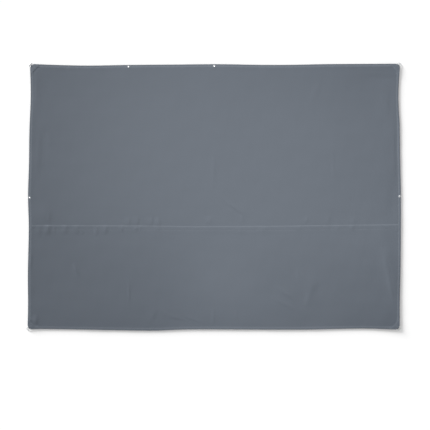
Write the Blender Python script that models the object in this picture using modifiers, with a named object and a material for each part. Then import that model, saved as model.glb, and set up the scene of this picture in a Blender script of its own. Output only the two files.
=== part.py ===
"""Rectangular shade sail, 3.5 m by 2.5 m, spread face up on a floor. Metres, +Z up.

+X runs along the long side and +Y towards the wide upper panel. The cloth is cut in
two panels joined by one lapped seam along X. It has a folded hem, a three-cornered
patch on each clipped corner, a D-ring held there by a loop of webbing, and four
pressed eyelets in the hems.

Every piece of cloth is drawn on one flat pattern, whose coordinates are (u, v), and
then laid out: spread() gives where a point of the pattern lies on the floor and
height() how far the cloth's underside stands off it.
"""

import math

import bmesh
import bpy
from mathutils import Matrix, Vector

# --- Driving dimensions -----------------------------------------------------------

HALF_WIDTH = 1.75  # of the flat pattern, along u
HALF_DEPTH = 1.25  # of the flat pattern, along v
CLOTH_THICK = 0.0015
GAP = 0.0005  # between neighbouring pieces
HEM_WIDTH = 0.026
HEM_THICK = 0.0026  # the cloth folded over
CORNER_LEG = 0.033  # what the 45 degree cut takes off each side

SEAM_V = -0.264  # upper edge of the lower panel, which lies on the upper one
LAP = 0.052
LAP_RAMP = 0.02

PATCH_LEG = 0.098  # from the sharp corner to the patch's long edge, along a side
PATCH_INSET = 0.0015
PATCH_THICK = 0.0012
PATCH_CELL = 0.007
PATCH_MARGIN = 0.0098  # it stays clear of a hem or of webbing by this much

WEBBING_WIDTH = 0.025
WEBBING_THICK = 0.0012
WEBBING_LEG = 0.030
WEBBING_BEND = -0.001  # where its legs begin to bend, just inside the cut edge
BAR_OUT = 0.0035  # from the cut edge to the middle of the D-ring's bar

WIRE_R = 0.0025
RING_INSIDE = 0.030  # clear width
RING_APEX = 0.027  # from the middle of the bar to the middle of the wire opposite
RING_BEND_R = 0.004  # at the ends of the bar, to the middle of the wire
RING_REST = 0.0003  # clear height under a ring that droops to the floor

# How far the eyelets sit inside the hem's outer edge
TOP_EYELET_INSET = 0.0155
LEFT_EYELET_INSET = 0.0125
RIGHT_EYELET_INSET = 0.0110
EYELET_HOLE_R = 0.0045
EYELET_BARREL_R = 0.0053
EYELET_FLANGE_R = 0.0085
EYELET_FLANGE_THICK = 0.0008
EYELET_ROUNDING = 0.0003
EYELET_SIDES = 20
EYELET_GAP = 0.0004  # to the hem, all round

FRAME_STEP = 0.010  # over which a piece that is fixed to the cloth takes its slope
BORDER = 0.30  # width of the finer rows and columns along each side
FINE_CELL = 0.045
COARSE_CELL = 0.088

# How each side strays from the straight line: position along the side, then how far
# out it lies. Top and bottom go by u, left and right by v.
TOP_EDGE = (
    # u, outwards
    (-1.71, 0.002), (-1.46, -0.007), (-1.17, -0.012), (-0.80, -0.006), (-0.33, -0.002),
    (0.05, 0.001), (0.43, -0.005), (0.71, -0.005), (1.09, 0.002), (1.71, 0.005),
)
BOTTOM_EDGE = (
    (-1.73, -0.001), (-1.64, -0.005), (-1.27, 0.000), (-0.89, 0.007), (-0.55, 0.010),
    (-0.33, 0.001), (-0.14, -0.002), (0.80, 0.001), (1.40, -0.009), (1.71, -0.001),
)
LEFT_EDGE = (
    # v, outwards
    (-1.22, 0.008), (-1.04, 0.004), (-0.74, 0.006), (-0.29, -0.003), (0.01, 0.004),
    (0.32, -0.005), (0.62, -0.009), (0.92, -0.020), (1.10, -0.019), (1.23, -0.014),
)
RIGHT_EDGE = (
    (-1.21, -0.002), (-0.97, -0.001), (-0.67, 0.006), (0.00, 0.0095), (0.39, 0.002),
    (0.69, -0.002), (0.86, -0.012), (0.99, -0.013), (1.15, -0.005), (1.23, 0.002),
)
SEAM_DRIFT = (
    # u, how far the seam lies towards +Y
    (-1.70, -0.004), (-0.75, -0.005), (-0.20, -0.011), (0.50, -0.009), (1.05, -0.002),
    (1.70, 0.006),
)
EDGE_REACH = 0.60  # how far into the cloth a side's straying is felt
SEAM_REACH = 0.40

# How high each side stands off the floor, near its corners and along its middle
SIDE_LIFT = {
    # side: (corners, middle)
    "top": (0.0025, 0.0035),
    "left": (0.0025, 0.0065),
    "right": (0.0072, 0.0086),
    "bottom": (0.0064, 0.0080),
}
STRAIGHT_RISE = 0.16  # the outermost stretch rises in a straight slope
CURVED_RISE = 0.60  # and from here on the cloth lies flat
CORNER_ZONE = 0.26  # along a side, where the height at the corners holds
ZONE_BLEND = 0.35

# Broad folds, each a soft ridge or, where it is less than 0 high, a shallow trough
FOLDS = (
    # u, v, heading (degrees from +u), length, half width, height,
    # how much steeper the side to the right of its heading is
    (1.665, -0.75, -78.0, 0.90, 0.062, 0.0040, 0.0),
    (0.923, -0.858, 60.0, 0.26, 0.070, 0.0028, 0.50),
    (0.70, -1.04, -45.0, 0.50, 0.110, 0.0022, 0.0),
    (-1.625, 0.40, 88.0, 0.62, 0.050, -0.0020, -0.45),
    (1.58, 1.118, -3.0, 0.44, 0.055, -0.0028, -0.45),
)

EYELETS = {
    # name: (u, v)
    "eyelet_top_left": (-0.809, HALF_DEPTH - TOP_EYELET_INSET),
    "eyelet_top_middle": (0.0, HALF_DEPTH - TOP_EYELET_INSET),
    "eyelet_left_middle": (-HALF_WIDTH + LEFT_EYELET_INSET, -0.006),
    "eyelet_right_middle": (HALF_WIDTH - RIGHT_EYELET_INSET, 0.005),
}
CORNERS = {
    # name: (sign of u, sign of v)
    "top_left": (-1, 1),
    "top_right": (1, 1),
    "bottom_left": (-1, -1),
    "bottom_right": (1, -1),
}

SLATE = (0.065, 0.080, 0.098)
SLATE_DEEP = (0.060, 0.072, 0.089)
STEEL = (0.791, 0.807, 0.815)


# --- The flat pattern and how it lies ---------------------------------------------


def smooth_table(table, at):
    """Value of a two-column table at a place, on a smooth curve through its rows."""
    if at <= table[0][0]:
        return table[0][1]
    if at >= table[-1][0]:
        return table[-1][1]
    k = next(i for i in range(1, len(table)) if at <= table[i][0])
    (x0, y0), (x1, y1) = table[k - 1], table[k]
    before, after = table[max(k - 2, 0)], table[min(k + 1, len(table) - 1)]
    slope0 = (y1 - before[1]) / (x1 - before[0])
    slope1 = (after[1] - y0) / (after[0] - x0)
    t, step = (at - x0) / (x1 - x0), x1 - x0
    return (
        y0 * (2 * t**3 - 3 * t**2 + 1)
        + y1 * (3 * t**2 - 2 * t**3)
        + step * (slope0 * (t**3 - 2 * t**2 + t) + slope1 * (t**3 - t**2))
    )


def ramp(at, low, high):
    """0 below low, 1 above high, and a soft S between."""
    t = min(max((at - low) / (high - low), 0.0), 1.0)
    return t * t * (3 - 2 * t)


def fade(distance, reach):
    """1 at a side and 0 from reach on."""
    return max(0.0, 1.0 - abs(distance) / reach) ** 2


def spread(u, v):
    """Where a point of the pattern lies on the floor."""
    left = smooth_table(LEFT_EDGE, v) * fade(u + HALF_WIDTH, EDGE_REACH)
    right = smooth_table(RIGHT_EDGE, v) * fade(HALF_WIDTH - u, EDGE_REACH)
    top = smooth_table(TOP_EDGE, u) * fade(HALF_DEPTH - v, EDGE_REACH)
    bottom = smooth_table(BOTTOM_EDGE, u) * fade(v + HALF_DEPTH, EDGE_REACH)
    seam = smooth_table(SEAM_DRIFT, u) * fade(v - SEAM_V, SEAM_REACH)
    return u + right - left, v + top - bottom + seam


def side_rise(distance):
    """Share of a side's lift that is left at a distance into the cloth."""
    if distance >= CURVED_RISE:
        return 0.0
    slope = 2.0 / (STRAIGHT_RISE + CURVED_RISE)
    if distance <= STRAIGHT_RISE:
        return 1.0 - slope * distance
    bend = CURVED_RISE - STRAIGHT_RISE
    return 0.5 * slope * (CURVED_RISE - distance) ** 2 / bend


def side_lift(side, along, half_length, distance):
    """Height that one side gives a point, by its place along the side and inwards."""
    corners, middle = SIDE_LIFT[side]
    from_corner = half_length - abs(along)
    share = ramp(from_corner, CORNER_ZONE, CORNER_ZONE + ZONE_BLEND)
    return (corners + (middle - corners) * share) * side_rise(distance)


def fold_lift(fold, u, v):
    """Height of one soft ridge or trough, with ends that die away."""
    fold_u, fold_v, heading, length, half_width, tall, lean = fold
    turn = math.radians(heading)
    du, dv = u - fold_u, v - fold_v
    along = (du * math.cos(turn) + dv * math.sin(turn)) / (length / 2)
    across = (dv * math.cos(turn) - du * math.sin(turn)) / half_width
    across /= 1 + math.copysign(lean, across)
    if abs(along) >= 1.0 or abs(across) >= 3.0:
        return 0.0
    return tall * (1 - along**2) ** 2 * math.exp(-(across**2))


def height(u, v):
    """How far the cloth's underside stands off the floor."""
    sides = (
        side_lift("top", u, HALF_WIDTH, HALF_DEPTH - v)
        + side_lift("bottom", u, HALF_WIDTH, HALF_DEPTH + v)
        + side_lift("left", v, HALF_DEPTH, HALF_WIDTH + u)
        + side_lift("right", v, HALF_DEPTH, HALF_WIDTH - u)
    )
    return sides + sum(fold_lift(fold, u, v) for fold in FOLDS)


def lies_at(u, v, above=0.0):
    """World position of a point of the pattern, above the cloth's underside."""
    x, y = spread(u, v)
    return Vector((x, y, height(u, v) + above))


def local_frame(u, v, out_u, out_v):
    """Axes at a point: Y square to the given pattern direction, Z off the cloth."""
    here = lies_at(u, v)
    x_axis = lies_at(u + out_u * FRAME_STEP, v + out_v * FRAME_STEP) - here
    y_axis = lies_at(u - out_v * FRAME_STEP, v + out_u * FRAME_STEP) - here
    z_axis = x_axis.cross(y_axis).normalized()
    y_axis.normalize()
    x_axis = y_axis.cross(z_axis)
    frame = Matrix((x_axis, y_axis, z_axis)).transposed().to_4x4()
    return Matrix.Translation(here) @ frame


# --- Materials and objects --------------------------------------------------------


def principled(name, colour, roughness, metallic=0.0):
    """A plain Principled material."""
    material = bpy.data.materials.new(name)
    material.use_nodes = True
    shader = material.node_tree.nodes["Principled BSDF"]
    shader.inputs["Base Color"].default_value = (*colour, 1.0)
    shader.inputs["Roughness"].default_value = roughness
    shader.inputs["Metallic"].default_value = metallic
    material.diffuse_color = (*colour, 1.0)
    return material


def object_from(bm, name, collection, material=None):
    """A named object made from a bmesh, which is freed."""
    mesh = bpy.data.meshes.new(name)
    bm.to_mesh(mesh)
    bm.free()
    if material:
        mesh.materials.append(material)
    made = bpy.data.objects.new(name, mesh)
    collection.objects.link(made)
    return made


def thicken(made, thickness, offset, hem_group=None):
    """Solidify on an open sheet; a vertex group marks where it has the full thickness."""
    solid = made.modifiers.new("thickness", "SOLIDIFY")
    solid.thickness = thickness
    solid.offset = offset
    solid.use_even_offset = True
    if hem_group:
        solid.vertex_group = hem_group
        solid.thickness_vertex_group = CLOTH_THICK / thickness


def smooth_shading(made, degrees=30.0):
    """Smooth shading with its sharp edges kept."""
    made.data.shade_smooth()
    made.data.set_sharp_from_angle(angle=math.radians(degrees))


# --- Cloth ------------------------------------------------------------------------


def evenly(low, high, most):
    """Places from low to high, both included, no further apart than most."""
    count = max(1, math.ceil((high - low) / most - 1e-9))
    return [low + (high - low) * k / count for k in range(count + 1)]


def joined(*stretches):
    """Stretches of places run together, each shared end named once."""
    places = list(stretches[0])
    for stretch in stretches[1:]:
        places += stretch[1:]
    return places


def flat_grid(columns, rows):
    """An open sheet of the flat pattern with its vertices at these columns and rows."""
    bm = bmesh.new()
    across, up = len(columns) - 1, len(rows) - 1
    bmesh.ops.create_grid(bm, x_segments=across, y_segments=up, size=1.0)
    for vert in bm.verts:
        column = round((vert.co.x + 1) / 2 * across)
        row = round((vert.co.y + 1) / 2 * up)
        vert.co = (columns[column], rows[row], 0.0)
    return bm


def clip(bm, point, outwards):
    """Cuts away what lies beyond a line of the flat pattern."""
    bmesh.ops.bisect_plane(
        bm,
        geom=bm.verts[:] + bm.edges[:] + bm.faces[:],
        dist=1e-6,
        plane_co=(*point, 0.0),
        plane_no=(*outwards, 0.0),
        clear_outer=True,
    )


def clip_corner(bm, corner, inset=0.0):
    """Takes a corner of the sail off at 45 degrees."""
    sign_u, sign_v = corner
    point = (sign_u * (HALF_WIDTH - CORNER_LEG), sign_v * HALF_DEPTH)
    inwards = inset * math.sqrt(2)
    clip(bm, (point[0] - sign_u * inwards, point[1]), (sign_u, sign_v))


def lay_out(bm, above):
    """Moves a flat sheet to where it lies, raised by above(u, v)."""
    for vert in bm.verts:
        u, v = vert.co.x, vert.co.y
        vert.co = lies_at(u, v, above(u, v))


def column_places():
    """Columns that both panels and the top hem share, inside the side hems."""
    inner = HALF_WIDTH - HEM_WIDTH - GAP
    middle = HALF_WIDTH - BORDER
    return joined(
        evenly(-inner, -middle, FINE_CELL),
        evenly(-middle, middle, COARSE_CELL),
        evenly(middle, inner, FINE_CELL),
    )


def upper_rows():
    """Rows of the upper panel, from under the lap to the top hem."""
    low, inner, middle = SEAM_V - LAP, HALF_DEPTH - HEM_WIDTH - GAP, HALF_DEPTH - BORDER
    return joined(
        evenly(low, SEAM_V, LAP / 2),
        evenly(SEAM_V, middle, COARSE_CELL),
        evenly(middle, inner, FINE_CELL),
    )


def lower_rows():
    """Rows of the lower panel, from its own hem to the lap."""
    hem, middle = -HALF_DEPTH + HEM_WIDTH, -HALF_DEPTH + BORDER
    under = SEAM_V - LAP
    return joined(
        [-HALF_DEPTH, hem, hem + CLOTH_THICK * 2],
        evenly(hem + CLOTH_THICK * 2, middle, FINE_CELL),
        evenly(middle, under - LAP_RAMP, COARSE_CELL),
        [under - LAP_RAMP, under - CLOTH_THICK, under],
        evenly(under, SEAM_V, LAP / 2),
    )


def build_upper_panel(collection, cloth):
    """The wide panel above the seam, one layer of cloth."""
    bm = flat_grid(column_places(), upper_rows())
    lay_out(bm, lambda u, v: 0.0)
    panel = object_from(bm, "panel_upper", collection, cloth)
    thicken(panel, CLOTH_THICK, 1.0)
    smooth_shading(panel)


def build_lower_panel(collection, cloth):
    """The narrow panel, lapped onto the upper one, with its own folded hem below."""
    columns = [-HALF_WIDTH, *column_places(), HALF_WIDTH]
    bm = flat_grid(columns, lower_rows())
    hem_v = -HALF_DEPTH + HEM_WIDTH
    beside_hems = [
        face
        for face in bm.faces
        if abs(face.calc_center_median().x) > columns[-2]
        and face.calc_center_median().y > hem_v
    ]
    bmesh.ops.delete(bm, geom=beside_hems, context="FACES")
    for corner in (CORNERS["bottom_left"], CORNERS["bottom_right"]):
        clip_corner(bm, corner)
    bm.verts.index_update()
    in_hem = [vert.index for vert in bm.verts if vert.co.y < hem_v + GAP]
    start, end = SEAM_V - LAP - LAP_RAMP, SEAM_V - LAP - CLOTH_THICK
    lap_height = CLOTH_THICK + GAP
    lay_out(bm, lambda u, v: lap_height * ramp(v, start, end))
    panel = object_from(bm, "panel_lower", collection, cloth)
    panel.vertex_groups.new(name="hem").add(in_hem, 1.0, "REPLACE")
    thicken(panel, HEM_THICK, 1.0, hem_group="hem")
    smooth_shading(panel)


def build_hems(collection, cloth):
    """The folded hems that hold the eyelets: top, left and right."""
    top_inner = HALF_DEPTH - HEM_WIDTH
    side_rows = joined([-top_inner + GAP, *lower_rows()[3:]], upper_rows()[2:])
    across = [0.0, HEM_WIDTH / 2, HEM_WIDTH]
    plans = {
        "hem_top": (
            [-HALF_WIDTH, *column_places(), HALF_WIDTH],
            [top_inner + step for step in across],
        ),
        "hem_left": ([-HALF_WIDTH + step for step in across], side_rows),
        "hem_right": ([HALF_WIDTH - HEM_WIDTH + step for step in across], side_rows),
    }
    hems = {}
    for name, (columns, rows) in plans.items():
        bm = flat_grid(columns, rows)
        for corner in CORNERS.values():
            clip_corner(bm, corner)
        lay_out(bm, lambda u, v: 0.0)
        hem = object_from(bm, name, collection, cloth)
        thicken(hem, HEM_THICK, 1.0)
        smooth_shading(hem)
        hems[name] = hem
    return hems


def patch_base(corner, u, v):
    """Height of a patch's underside: over cloth, over the hems and over webbing."""
    sign_u, sign_v = corner
    in_u, in_v = HALF_WIDTH - sign_u * u, HALF_DEPTH - sign_v * v
    off_hem = min(in_u, in_v) - HEM_WIDTH - PATCH_MARGIN
    over_hem = 1.0 - ramp(off_hem, 0.0, PATCH_CELL)
    off_side = abs(in_u - in_v) / math.sqrt(2) - WEBBING_WIDTH / 2 - PATCH_MARGIN
    from_cut = (in_u + in_v - CORNER_LEG) / math.sqrt(2)
    off_end = from_cut - WEBBING_LEG - PATCH_MARGIN
    over_leg = 1.0 - ramp(max(off_side, off_end), 0.0, PATCH_CELL)
    hem_step = (HEM_THICK - CLOTH_THICK) * over_hem
    leg_step = (HEM_THICK - CLOTH_THICK + WEBBING_THICK + GAP) * over_leg
    return CLOTH_THICK + GAP + max(hem_step, leg_step)


def build_patch(name, corner, collection, cloth):
    """A three-cornered patch sewn on a corner's face, its long edge along the cut."""
    sign_u, sign_v = corner
    steps = evenly(PATCH_INSET, PATCH_LEG, PATCH_CELL)
    columns = sorted(sign_u * (HALF_WIDTH - step) for step in steps)
    rows = sorted(sign_v * (HALF_DEPTH - step) for step in steps)
    bm = flat_grid(columns, rows)
    clip_corner(bm, corner, PATCH_INSET)
    long_edge = (sign_u * (HALF_WIDTH - PATCH_LEG), sign_v * HALF_DEPTH)
    clip(bm, long_edge, (-sign_u, -sign_v))
    lay_out(bm, lambda u, v: patch_base(corner, u, v))
    patch = object_from(bm, f"corner_patch_{name}", collection, cloth)
    thicken(patch, PATCH_THICK, 1.0)
    smooth_shading(patch)


# --- Corner hardware --------------------------------------------------------------


def corner_frame(corner):
    """Axes at the middle of a cut edge, half way through the hem: +X leads outwards."""
    sign_u, sign_v = corner
    u = sign_u * (HALF_WIDTH - CORNER_LEG / 2)
    v = sign_v * (HALF_DEPTH - CORNER_LEG / 2)
    half = math.sqrt(0.5)
    frame = local_frame(u, v, sign_u * half, sign_v * half)
    return frame @ Matrix.Translation((0.0, 0.0, HEM_THICK / 2))


def arc(middle, radius, start, sweep, steps):
    """Points of an arc, from a start angle round by a sweep, both in degrees."""
    turns = [math.radians(start + sweep * k / steps) for k in range(steps + 1)]
    return [
        (middle[0] + radius * math.cos(a), middle[1] + radius * math.sin(a))
        for a in turns
    ]


def webbing_path():
    """The loop's middle line from leg to leg round the bar, in a corner's X and Z."""
    leg_z = HEM_THICK / 2 + GAP + WEBBING_THICK / 2
    turn_r = WIRE_R + GAP + WEBBING_THICK / 2
    legs = [(-WEBBING_LEG, leg_z), (-WEBBING_LEG / 2, leg_z), (WEBBING_BEND, leg_z)]
    under = [(x, -z) for x, z in reversed(legs)]
    return [*legs, *arc((BAR_OUT, 0.0), turn_r, 90, -180, 12), *under]


def build_webbing(name, corner, collection, webbing):
    """A loop of webbing that grips the corner from both faces and holds the ring."""
    bm = bmesh.new()
    side = -WEBBING_WIDTH / 2
    line = [bm.verts.new((x, side, z)) for x, z in webbing_path()]
    edges = [bm.edges.new(pair) for pair in zip(line, line[1:])]
    swept = bmesh.ops.extrude_edge_only(bm, edges=edges)
    moved = [item for item in swept["geom"] if isinstance(item, bmesh.types.BMVert)]
    bmesh.ops.translate(bm, verts=moved, vec=(0.0, WEBBING_WIDTH, 0.0))
    loop = object_from(bm, f"webbing_loop_{name}", collection, webbing)
    thicken(loop, WEBBING_THICK, 0.0)
    loop.matrix_world = corner_frame(corner)
    smooth_shading(loop)


def ring_line():
    """Middle line of a D-ring's wire, its bar along Y at the origin."""
    half = RING_INSIDE / 2 + WIRE_R
    bend = RING_BEND_R
    return [
        *arc((bend, bend - half), bend, 180, 90, 3),
        *arc((RING_APEX - half, 0.0), half, -90, 180, 12),
        *arc((bend, half - bend), bend, 90, 90, 3),
    ]


def build_ring(name, corner, collection, steel):
    """A welded D-ring whose bow droops from the webbing until it meets the floor."""
    curve = bpy.data.curves.new(f"d_ring_{name}", "CURVE")
    curve.dimensions = "3D"
    curve.bevel_depth = WIRE_R
    curve.bevel_resolution = 2
    line = ring_line()
    spline = curve.splines.new("POLY")
    spline.points.add(len(line) - 1)
    for point, (x, y) in zip(spline.points, line):
        point.co = (x, y, 0.0, 1.0)
    spline.use_cyclic_u = True
    curve.materials.append(steel)
    ring = bpy.data.objects.new(curve.name, curve)
    collection.objects.link(ring)
    frame = corner_frame(corner) @ Matrix.Translation((BAR_OUT, 0.0, 0.0))
    level = frame.to_3x3() @ Vector((1.0, 0.0, 0.0))
    rise = math.asin(level.z)
    drop = math.asin((frame.translation.z - WIRE_R - RING_REST) / RING_APEX)
    ring.matrix_world = frame @ Matrix.Rotation(rise + drop, 4, "Y")


# --- Eyelets ----------------------------------------------------------------------


def eyelet_profile():
    """Outline of a pressed eyelet's section, down its outer side and back up inside."""
    grip = HEM_THICK / 2 + EYELET_GAP
    top = grip + EYELET_FLANGE_THICK
    soft = EYELET_ROUNDING
    outer = [
        (EYELET_HOLE_R + soft, top),
        (EYELET_FLANGE_R - soft * 1.5, top),
        (EYELET_FLANGE_R, grip + soft),
        (EYELET_FLANGE_R - soft, grip),
        (EYELET_BARREL_R, grip),
    ]
    below = [(r, -z) for r, z in reversed(outer)]
    inner = [(EYELET_HOLE_R, -top + soft), (EYELET_HOLE_R, top - soft)]
    return [*outer, *below, *inner]


def build_eyelet(name, place, hem, collection, cutters, steel):
    """A two-part eyelet clenched through a hem, and the hole that it sits in."""
    bm = bmesh.new()
    corners = [bm.verts.new((r, 0.0, z)) for r, z in eyelet_profile()]
    for pair in zip(corners, corners[1:] + corners[:1]):
        bm.edges.new(pair)
    mesh = bpy.data.meshes.new(name)
    bm.to_mesh(mesh)
    bm.free()
    mesh.materials.append(steel)
    eyelet = bpy.data.objects.new(name, mesh)
    collection.objects.link(eyelet)
    turn = eyelet.modifiers.new("turn", "SCREW")
    turn.steps = EYELET_SIDES
    turn.render_steps = EYELET_SIDES
    turn.use_merge_vertices = True
    turn.merge_threshold = 0.00005
    turn.use_smooth_shade = True
    middle = Matrix.Translation((0.0, 0.0, HEM_THICK / 2))
    eyelet.matrix_world = local_frame(*place, 1.0, 0.0) @ middle

    punch_bm = bmesh.new()
    radius = EYELET_BARREL_R + EYELET_GAP
    bmesh.ops.create_cone(
        punch_bm,
        cap_ends=True,
        segments=EYELET_SIDES,
        radius1=radius,
        radius2=radius,
        depth=HEM_THICK * 4,
    )
    punch = object_from(punch_bm, f"punch_{name}", cutters)
    punch.matrix_world = eyelet.matrix_world.copy()
    punch.hide_render = True
    punch.display_type = "WIRE"
    hole = hem.modifiers.new(f"hole_{name}", "BOOLEAN")
    hole.operation = "DIFFERENCE"
    hole.solver = "EXACT"
    hole.object = punch


# --- The whole sail ---------------------------------------------------------------


def centre_on_floor(sail, cutters):
    """Shifts everything so that the origin is under the middle of the whole sail."""
    bpy.context.view_layer.update()
    graph = bpy.context.evaluated_depsgraph_get()
    places = []
    for piece in sail.objects:
        evaluated = piece.evaluated_get(graph)
        mesh = evaluated.to_mesh()
        places += [evaluated.matrix_world @ vertex.co for vertex in mesh.vertices]
        evaluated.to_mesh_clear()
    middle_x = (min(p.x for p in places) + max(p.x for p in places)) / 2
    middle_y = (min(p.y for p in places) + max(p.y for p in places)) / 2
    shift = Matrix.Translation((-middle_x, -middle_y, 0.0))
    for piece in [*sail.objects, *cutters.objects]:
        piece.matrix_world = shift @ piece.matrix_world


def main():
    """Clears the scene and builds the sail."""
    for old in list(bpy.data.objects):
        bpy.data.objects.remove(old, do_unlink=True)
    sail = bpy.data.collections.new("shade sail")
    cutters = bpy.data.collections.new("cutters")
    for collection in (sail, cutters):
        bpy.context.scene.collection.children.link(collection)
    cutters.hide_render = True

    cloth = principled("slate polyester cloth", SLATE, 0.75)
    webbing = principled("polyester webbing", SLATE_DEEP, 0.85)
    steel = principled("stainless steel", STEEL, 0.25, metallic=1.0)

    build_upper_panel(sail, cloth)
    build_lower_panel(sail, cloth)
    hems = build_hems(sail, cloth)
    for name, corner in CORNERS.items():
        build_patch(name, corner, sail, cloth)
        build_webbing(name, corner, sail, webbing)
        build_ring(name, corner, sail, steel)
    for name, place in EYELETS.items():
        hem = hems["hem_" + name.split("_")[1]]
        build_eyelet(name, place, hem, sail, cutters, steel)
    centre_on_floor(sail, cutters)


if __name__ == "__main__":
    main()
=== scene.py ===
"""Looks of a rectangular shade sail, 3.5 m by 2.5 m, spread face up on a studio floor.

Every piece of cloth is drawn on one flat pattern, whose coordinates are u along the long
side and v towards the wide upper panel, in metres. FlatPattern says where a point of it
lies on the floor, and Face how the upper face swells at the hems, along the seam and in
the creases. The steel and the webbing stand in frames taken from the same pattern.
"""

from __future__ import annotations

import logging
import math
from dataclasses import dataclass, field
from enum import Enum
from typing import Callable

import bmesh
import bpy
import numpy as np
from mathutils import Matrix, Vector


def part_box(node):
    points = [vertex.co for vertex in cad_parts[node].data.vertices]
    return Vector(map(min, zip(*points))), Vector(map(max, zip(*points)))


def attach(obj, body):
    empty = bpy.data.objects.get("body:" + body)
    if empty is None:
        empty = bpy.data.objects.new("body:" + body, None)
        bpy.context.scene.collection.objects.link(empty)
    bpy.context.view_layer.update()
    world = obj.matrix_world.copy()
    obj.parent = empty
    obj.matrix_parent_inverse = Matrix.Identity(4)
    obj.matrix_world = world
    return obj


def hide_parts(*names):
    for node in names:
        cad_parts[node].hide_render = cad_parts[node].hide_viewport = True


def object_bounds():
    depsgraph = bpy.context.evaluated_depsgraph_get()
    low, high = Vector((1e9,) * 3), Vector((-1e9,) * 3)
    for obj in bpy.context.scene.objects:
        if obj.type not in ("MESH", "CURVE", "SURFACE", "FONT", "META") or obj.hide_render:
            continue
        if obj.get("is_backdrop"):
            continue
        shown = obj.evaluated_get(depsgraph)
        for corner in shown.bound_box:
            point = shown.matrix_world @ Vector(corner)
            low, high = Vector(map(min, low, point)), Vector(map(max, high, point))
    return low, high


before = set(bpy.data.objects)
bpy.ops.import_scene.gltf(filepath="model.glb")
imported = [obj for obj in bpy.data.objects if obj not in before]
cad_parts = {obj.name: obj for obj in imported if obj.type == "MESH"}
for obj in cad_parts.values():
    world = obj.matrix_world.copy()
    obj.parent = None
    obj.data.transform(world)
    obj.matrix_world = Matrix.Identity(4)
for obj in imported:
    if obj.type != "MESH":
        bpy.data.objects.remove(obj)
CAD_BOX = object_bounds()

LOG = logging.getLogger("shade_sail")
BODY = "root"

Floats = np.ndarray
Line = list[tuple[float, float]]
Heights = Callable[[Floats, Floats], Floats]  # of points u and v of the pattern


# --- Sizes --------------------------------------------------------------------------


@dataclass(frozen=True)
class Cut:
    """What the sail is cut and sewn to, in metres, as in the solids."""

    half_width: float = 1.75
    half_depth: float = 1.25
    cloth: float = 0.0015
    gap: float = 0.0005
    hem_width: float = 0.026
    hem: float = 0.0026
    corner_leg: float = 0.033
    seam_v: float = -0.264
    lap: float = 0.052
    lap_ramp: float = 0.045
    patch_leg: float = 0.098
    patch_inset: float = 0.0015
    webbing_width: float = 0.025
    webbing: float = 0.0012
    webbing_sewn: float = 0.0004  # its legs, pressed thin under the patch
    webbing_leg: float = 0.030
    bar_out: float = 0.0035
    wire_r: float = 0.0025
    ring_inside: float = 0.030
    ring_apex: float = 0.027
    ring_bend_r: float = 0.004
    ring_rest: float = 0.0003
    top_eyelet_inset: float = 0.0155  # from the hem's outer edge
    left_eyelet_inset: float = 0.0125
    right_eyelet_inset: float = 0.0110
    hole_r: float = 0.0045
    barrel_r: float = 0.0053
    flange_r: float = 0.0085
    flange: float = 0.0008
    eyelet_gap: float = 0.0004
    frame_step: float = 0.010
    lap_step: float = 0.0005  # how far the cloth, pressed thin in the seam, steps up
    hem_stitch: float = 0.0242  # from the outer fold to the row of topstitching
    seam_stitches: tuple[float, float] = (0.009, 0.043)  # below the lap's folded edge
    patch_stitch: float = 0.005  # from a patch's edge
    layer_gap: float = 0.0001  # between two layers of cloth that are pressed together


CUT = Cut()


class Corner(Enum):
    """The clipped corners, each with its signs of u and v."""

    TOP_LEFT = (-1, 1)
    TOP_RIGHT = (1, 1)
    BOTTOM_LEFT = (-1, -1)
    BOTTOM_RIGHT = (1, -1)

    @property
    def label(self) -> str:
        """The corner's name in the names of its pieces."""
        return self.name.lower()

    def inwards(self, u: Floats, v: Floats) -> tuple[Floats, Floats]:
        """How far points lie inside the two sides that would meet at the sharp corner."""
        sign_u, sign_v = self.value
        return CUT.half_width - sign_u * u, CUT.half_depth - sign_v * v


class Side(Enum):
    """The four hemmed sides, each with how high it stands near its corners and midway."""

    TOP = (0.0025, 0.0035)
    LEFT = (0.0025, 0.0065)
    RIGHT = (0.0072, 0.0086)
    BOTTOM = (0.0064, 0.0080)

    def place(self, u: Floats, v: Floats) -> tuple[Floats, Floats, float]:
        """Where points lie along the side and in from it.

        Args:
            u, v: points of the pattern.

        Returns:
            Place along the side, distance into the cloth, and half the side's length.
        """
        if self in (Side.TOP, Side.BOTTOM):
            outwards = v if self is Side.TOP else -v
            return u, CUT.half_depth - outwards, CUT.half_width
        outwards = u if self is Side.RIGHT else -u
        return v, CUT.half_width - outwards, CUT.half_depth


class Hole(Enum):
    """The pressed eyelets, each at its place on the pattern."""

    TOP_LEFT = (-0.809, CUT.half_depth - CUT.top_eyelet_inset)
    TOP_MIDDLE = (0.0, CUT.half_depth - CUT.top_eyelet_inset)
    LEFT_MIDDLE = (-CUT.half_width + CUT.left_eyelet_inset, -0.006)
    RIGHT_MIDDLE = (CUT.half_width - CUT.right_eyelet_inset, 0.005)

    @property
    def label(self) -> str:
        """The name of the eyelet's node."""
        return f"eyelet_{self.name.lower()}"


# --- How the cloth lies -------------------------------------------------------------


def ramp(at: Floats, low: float, high: float) -> Floats:
    """0 below low, 1 above high, and a soft S between."""
    t = np.clip((at - low) / (high - low), 0.0, 1.0)
    return t * t * (3 - 2 * t)


def fade(distance: Floats, reach: float) -> Floats:
    """1 at a side and 0 from reach on."""
    return np.maximum(0.0, 1.0 - np.abs(distance) / reach) ** 2


def bell(at: Floats, middle: float, half_width: float) -> Floats:
    """1 at the middle, dying away to both sides of it."""
    return np.exp(-(((at - middle) / half_width) ** 2))


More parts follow.
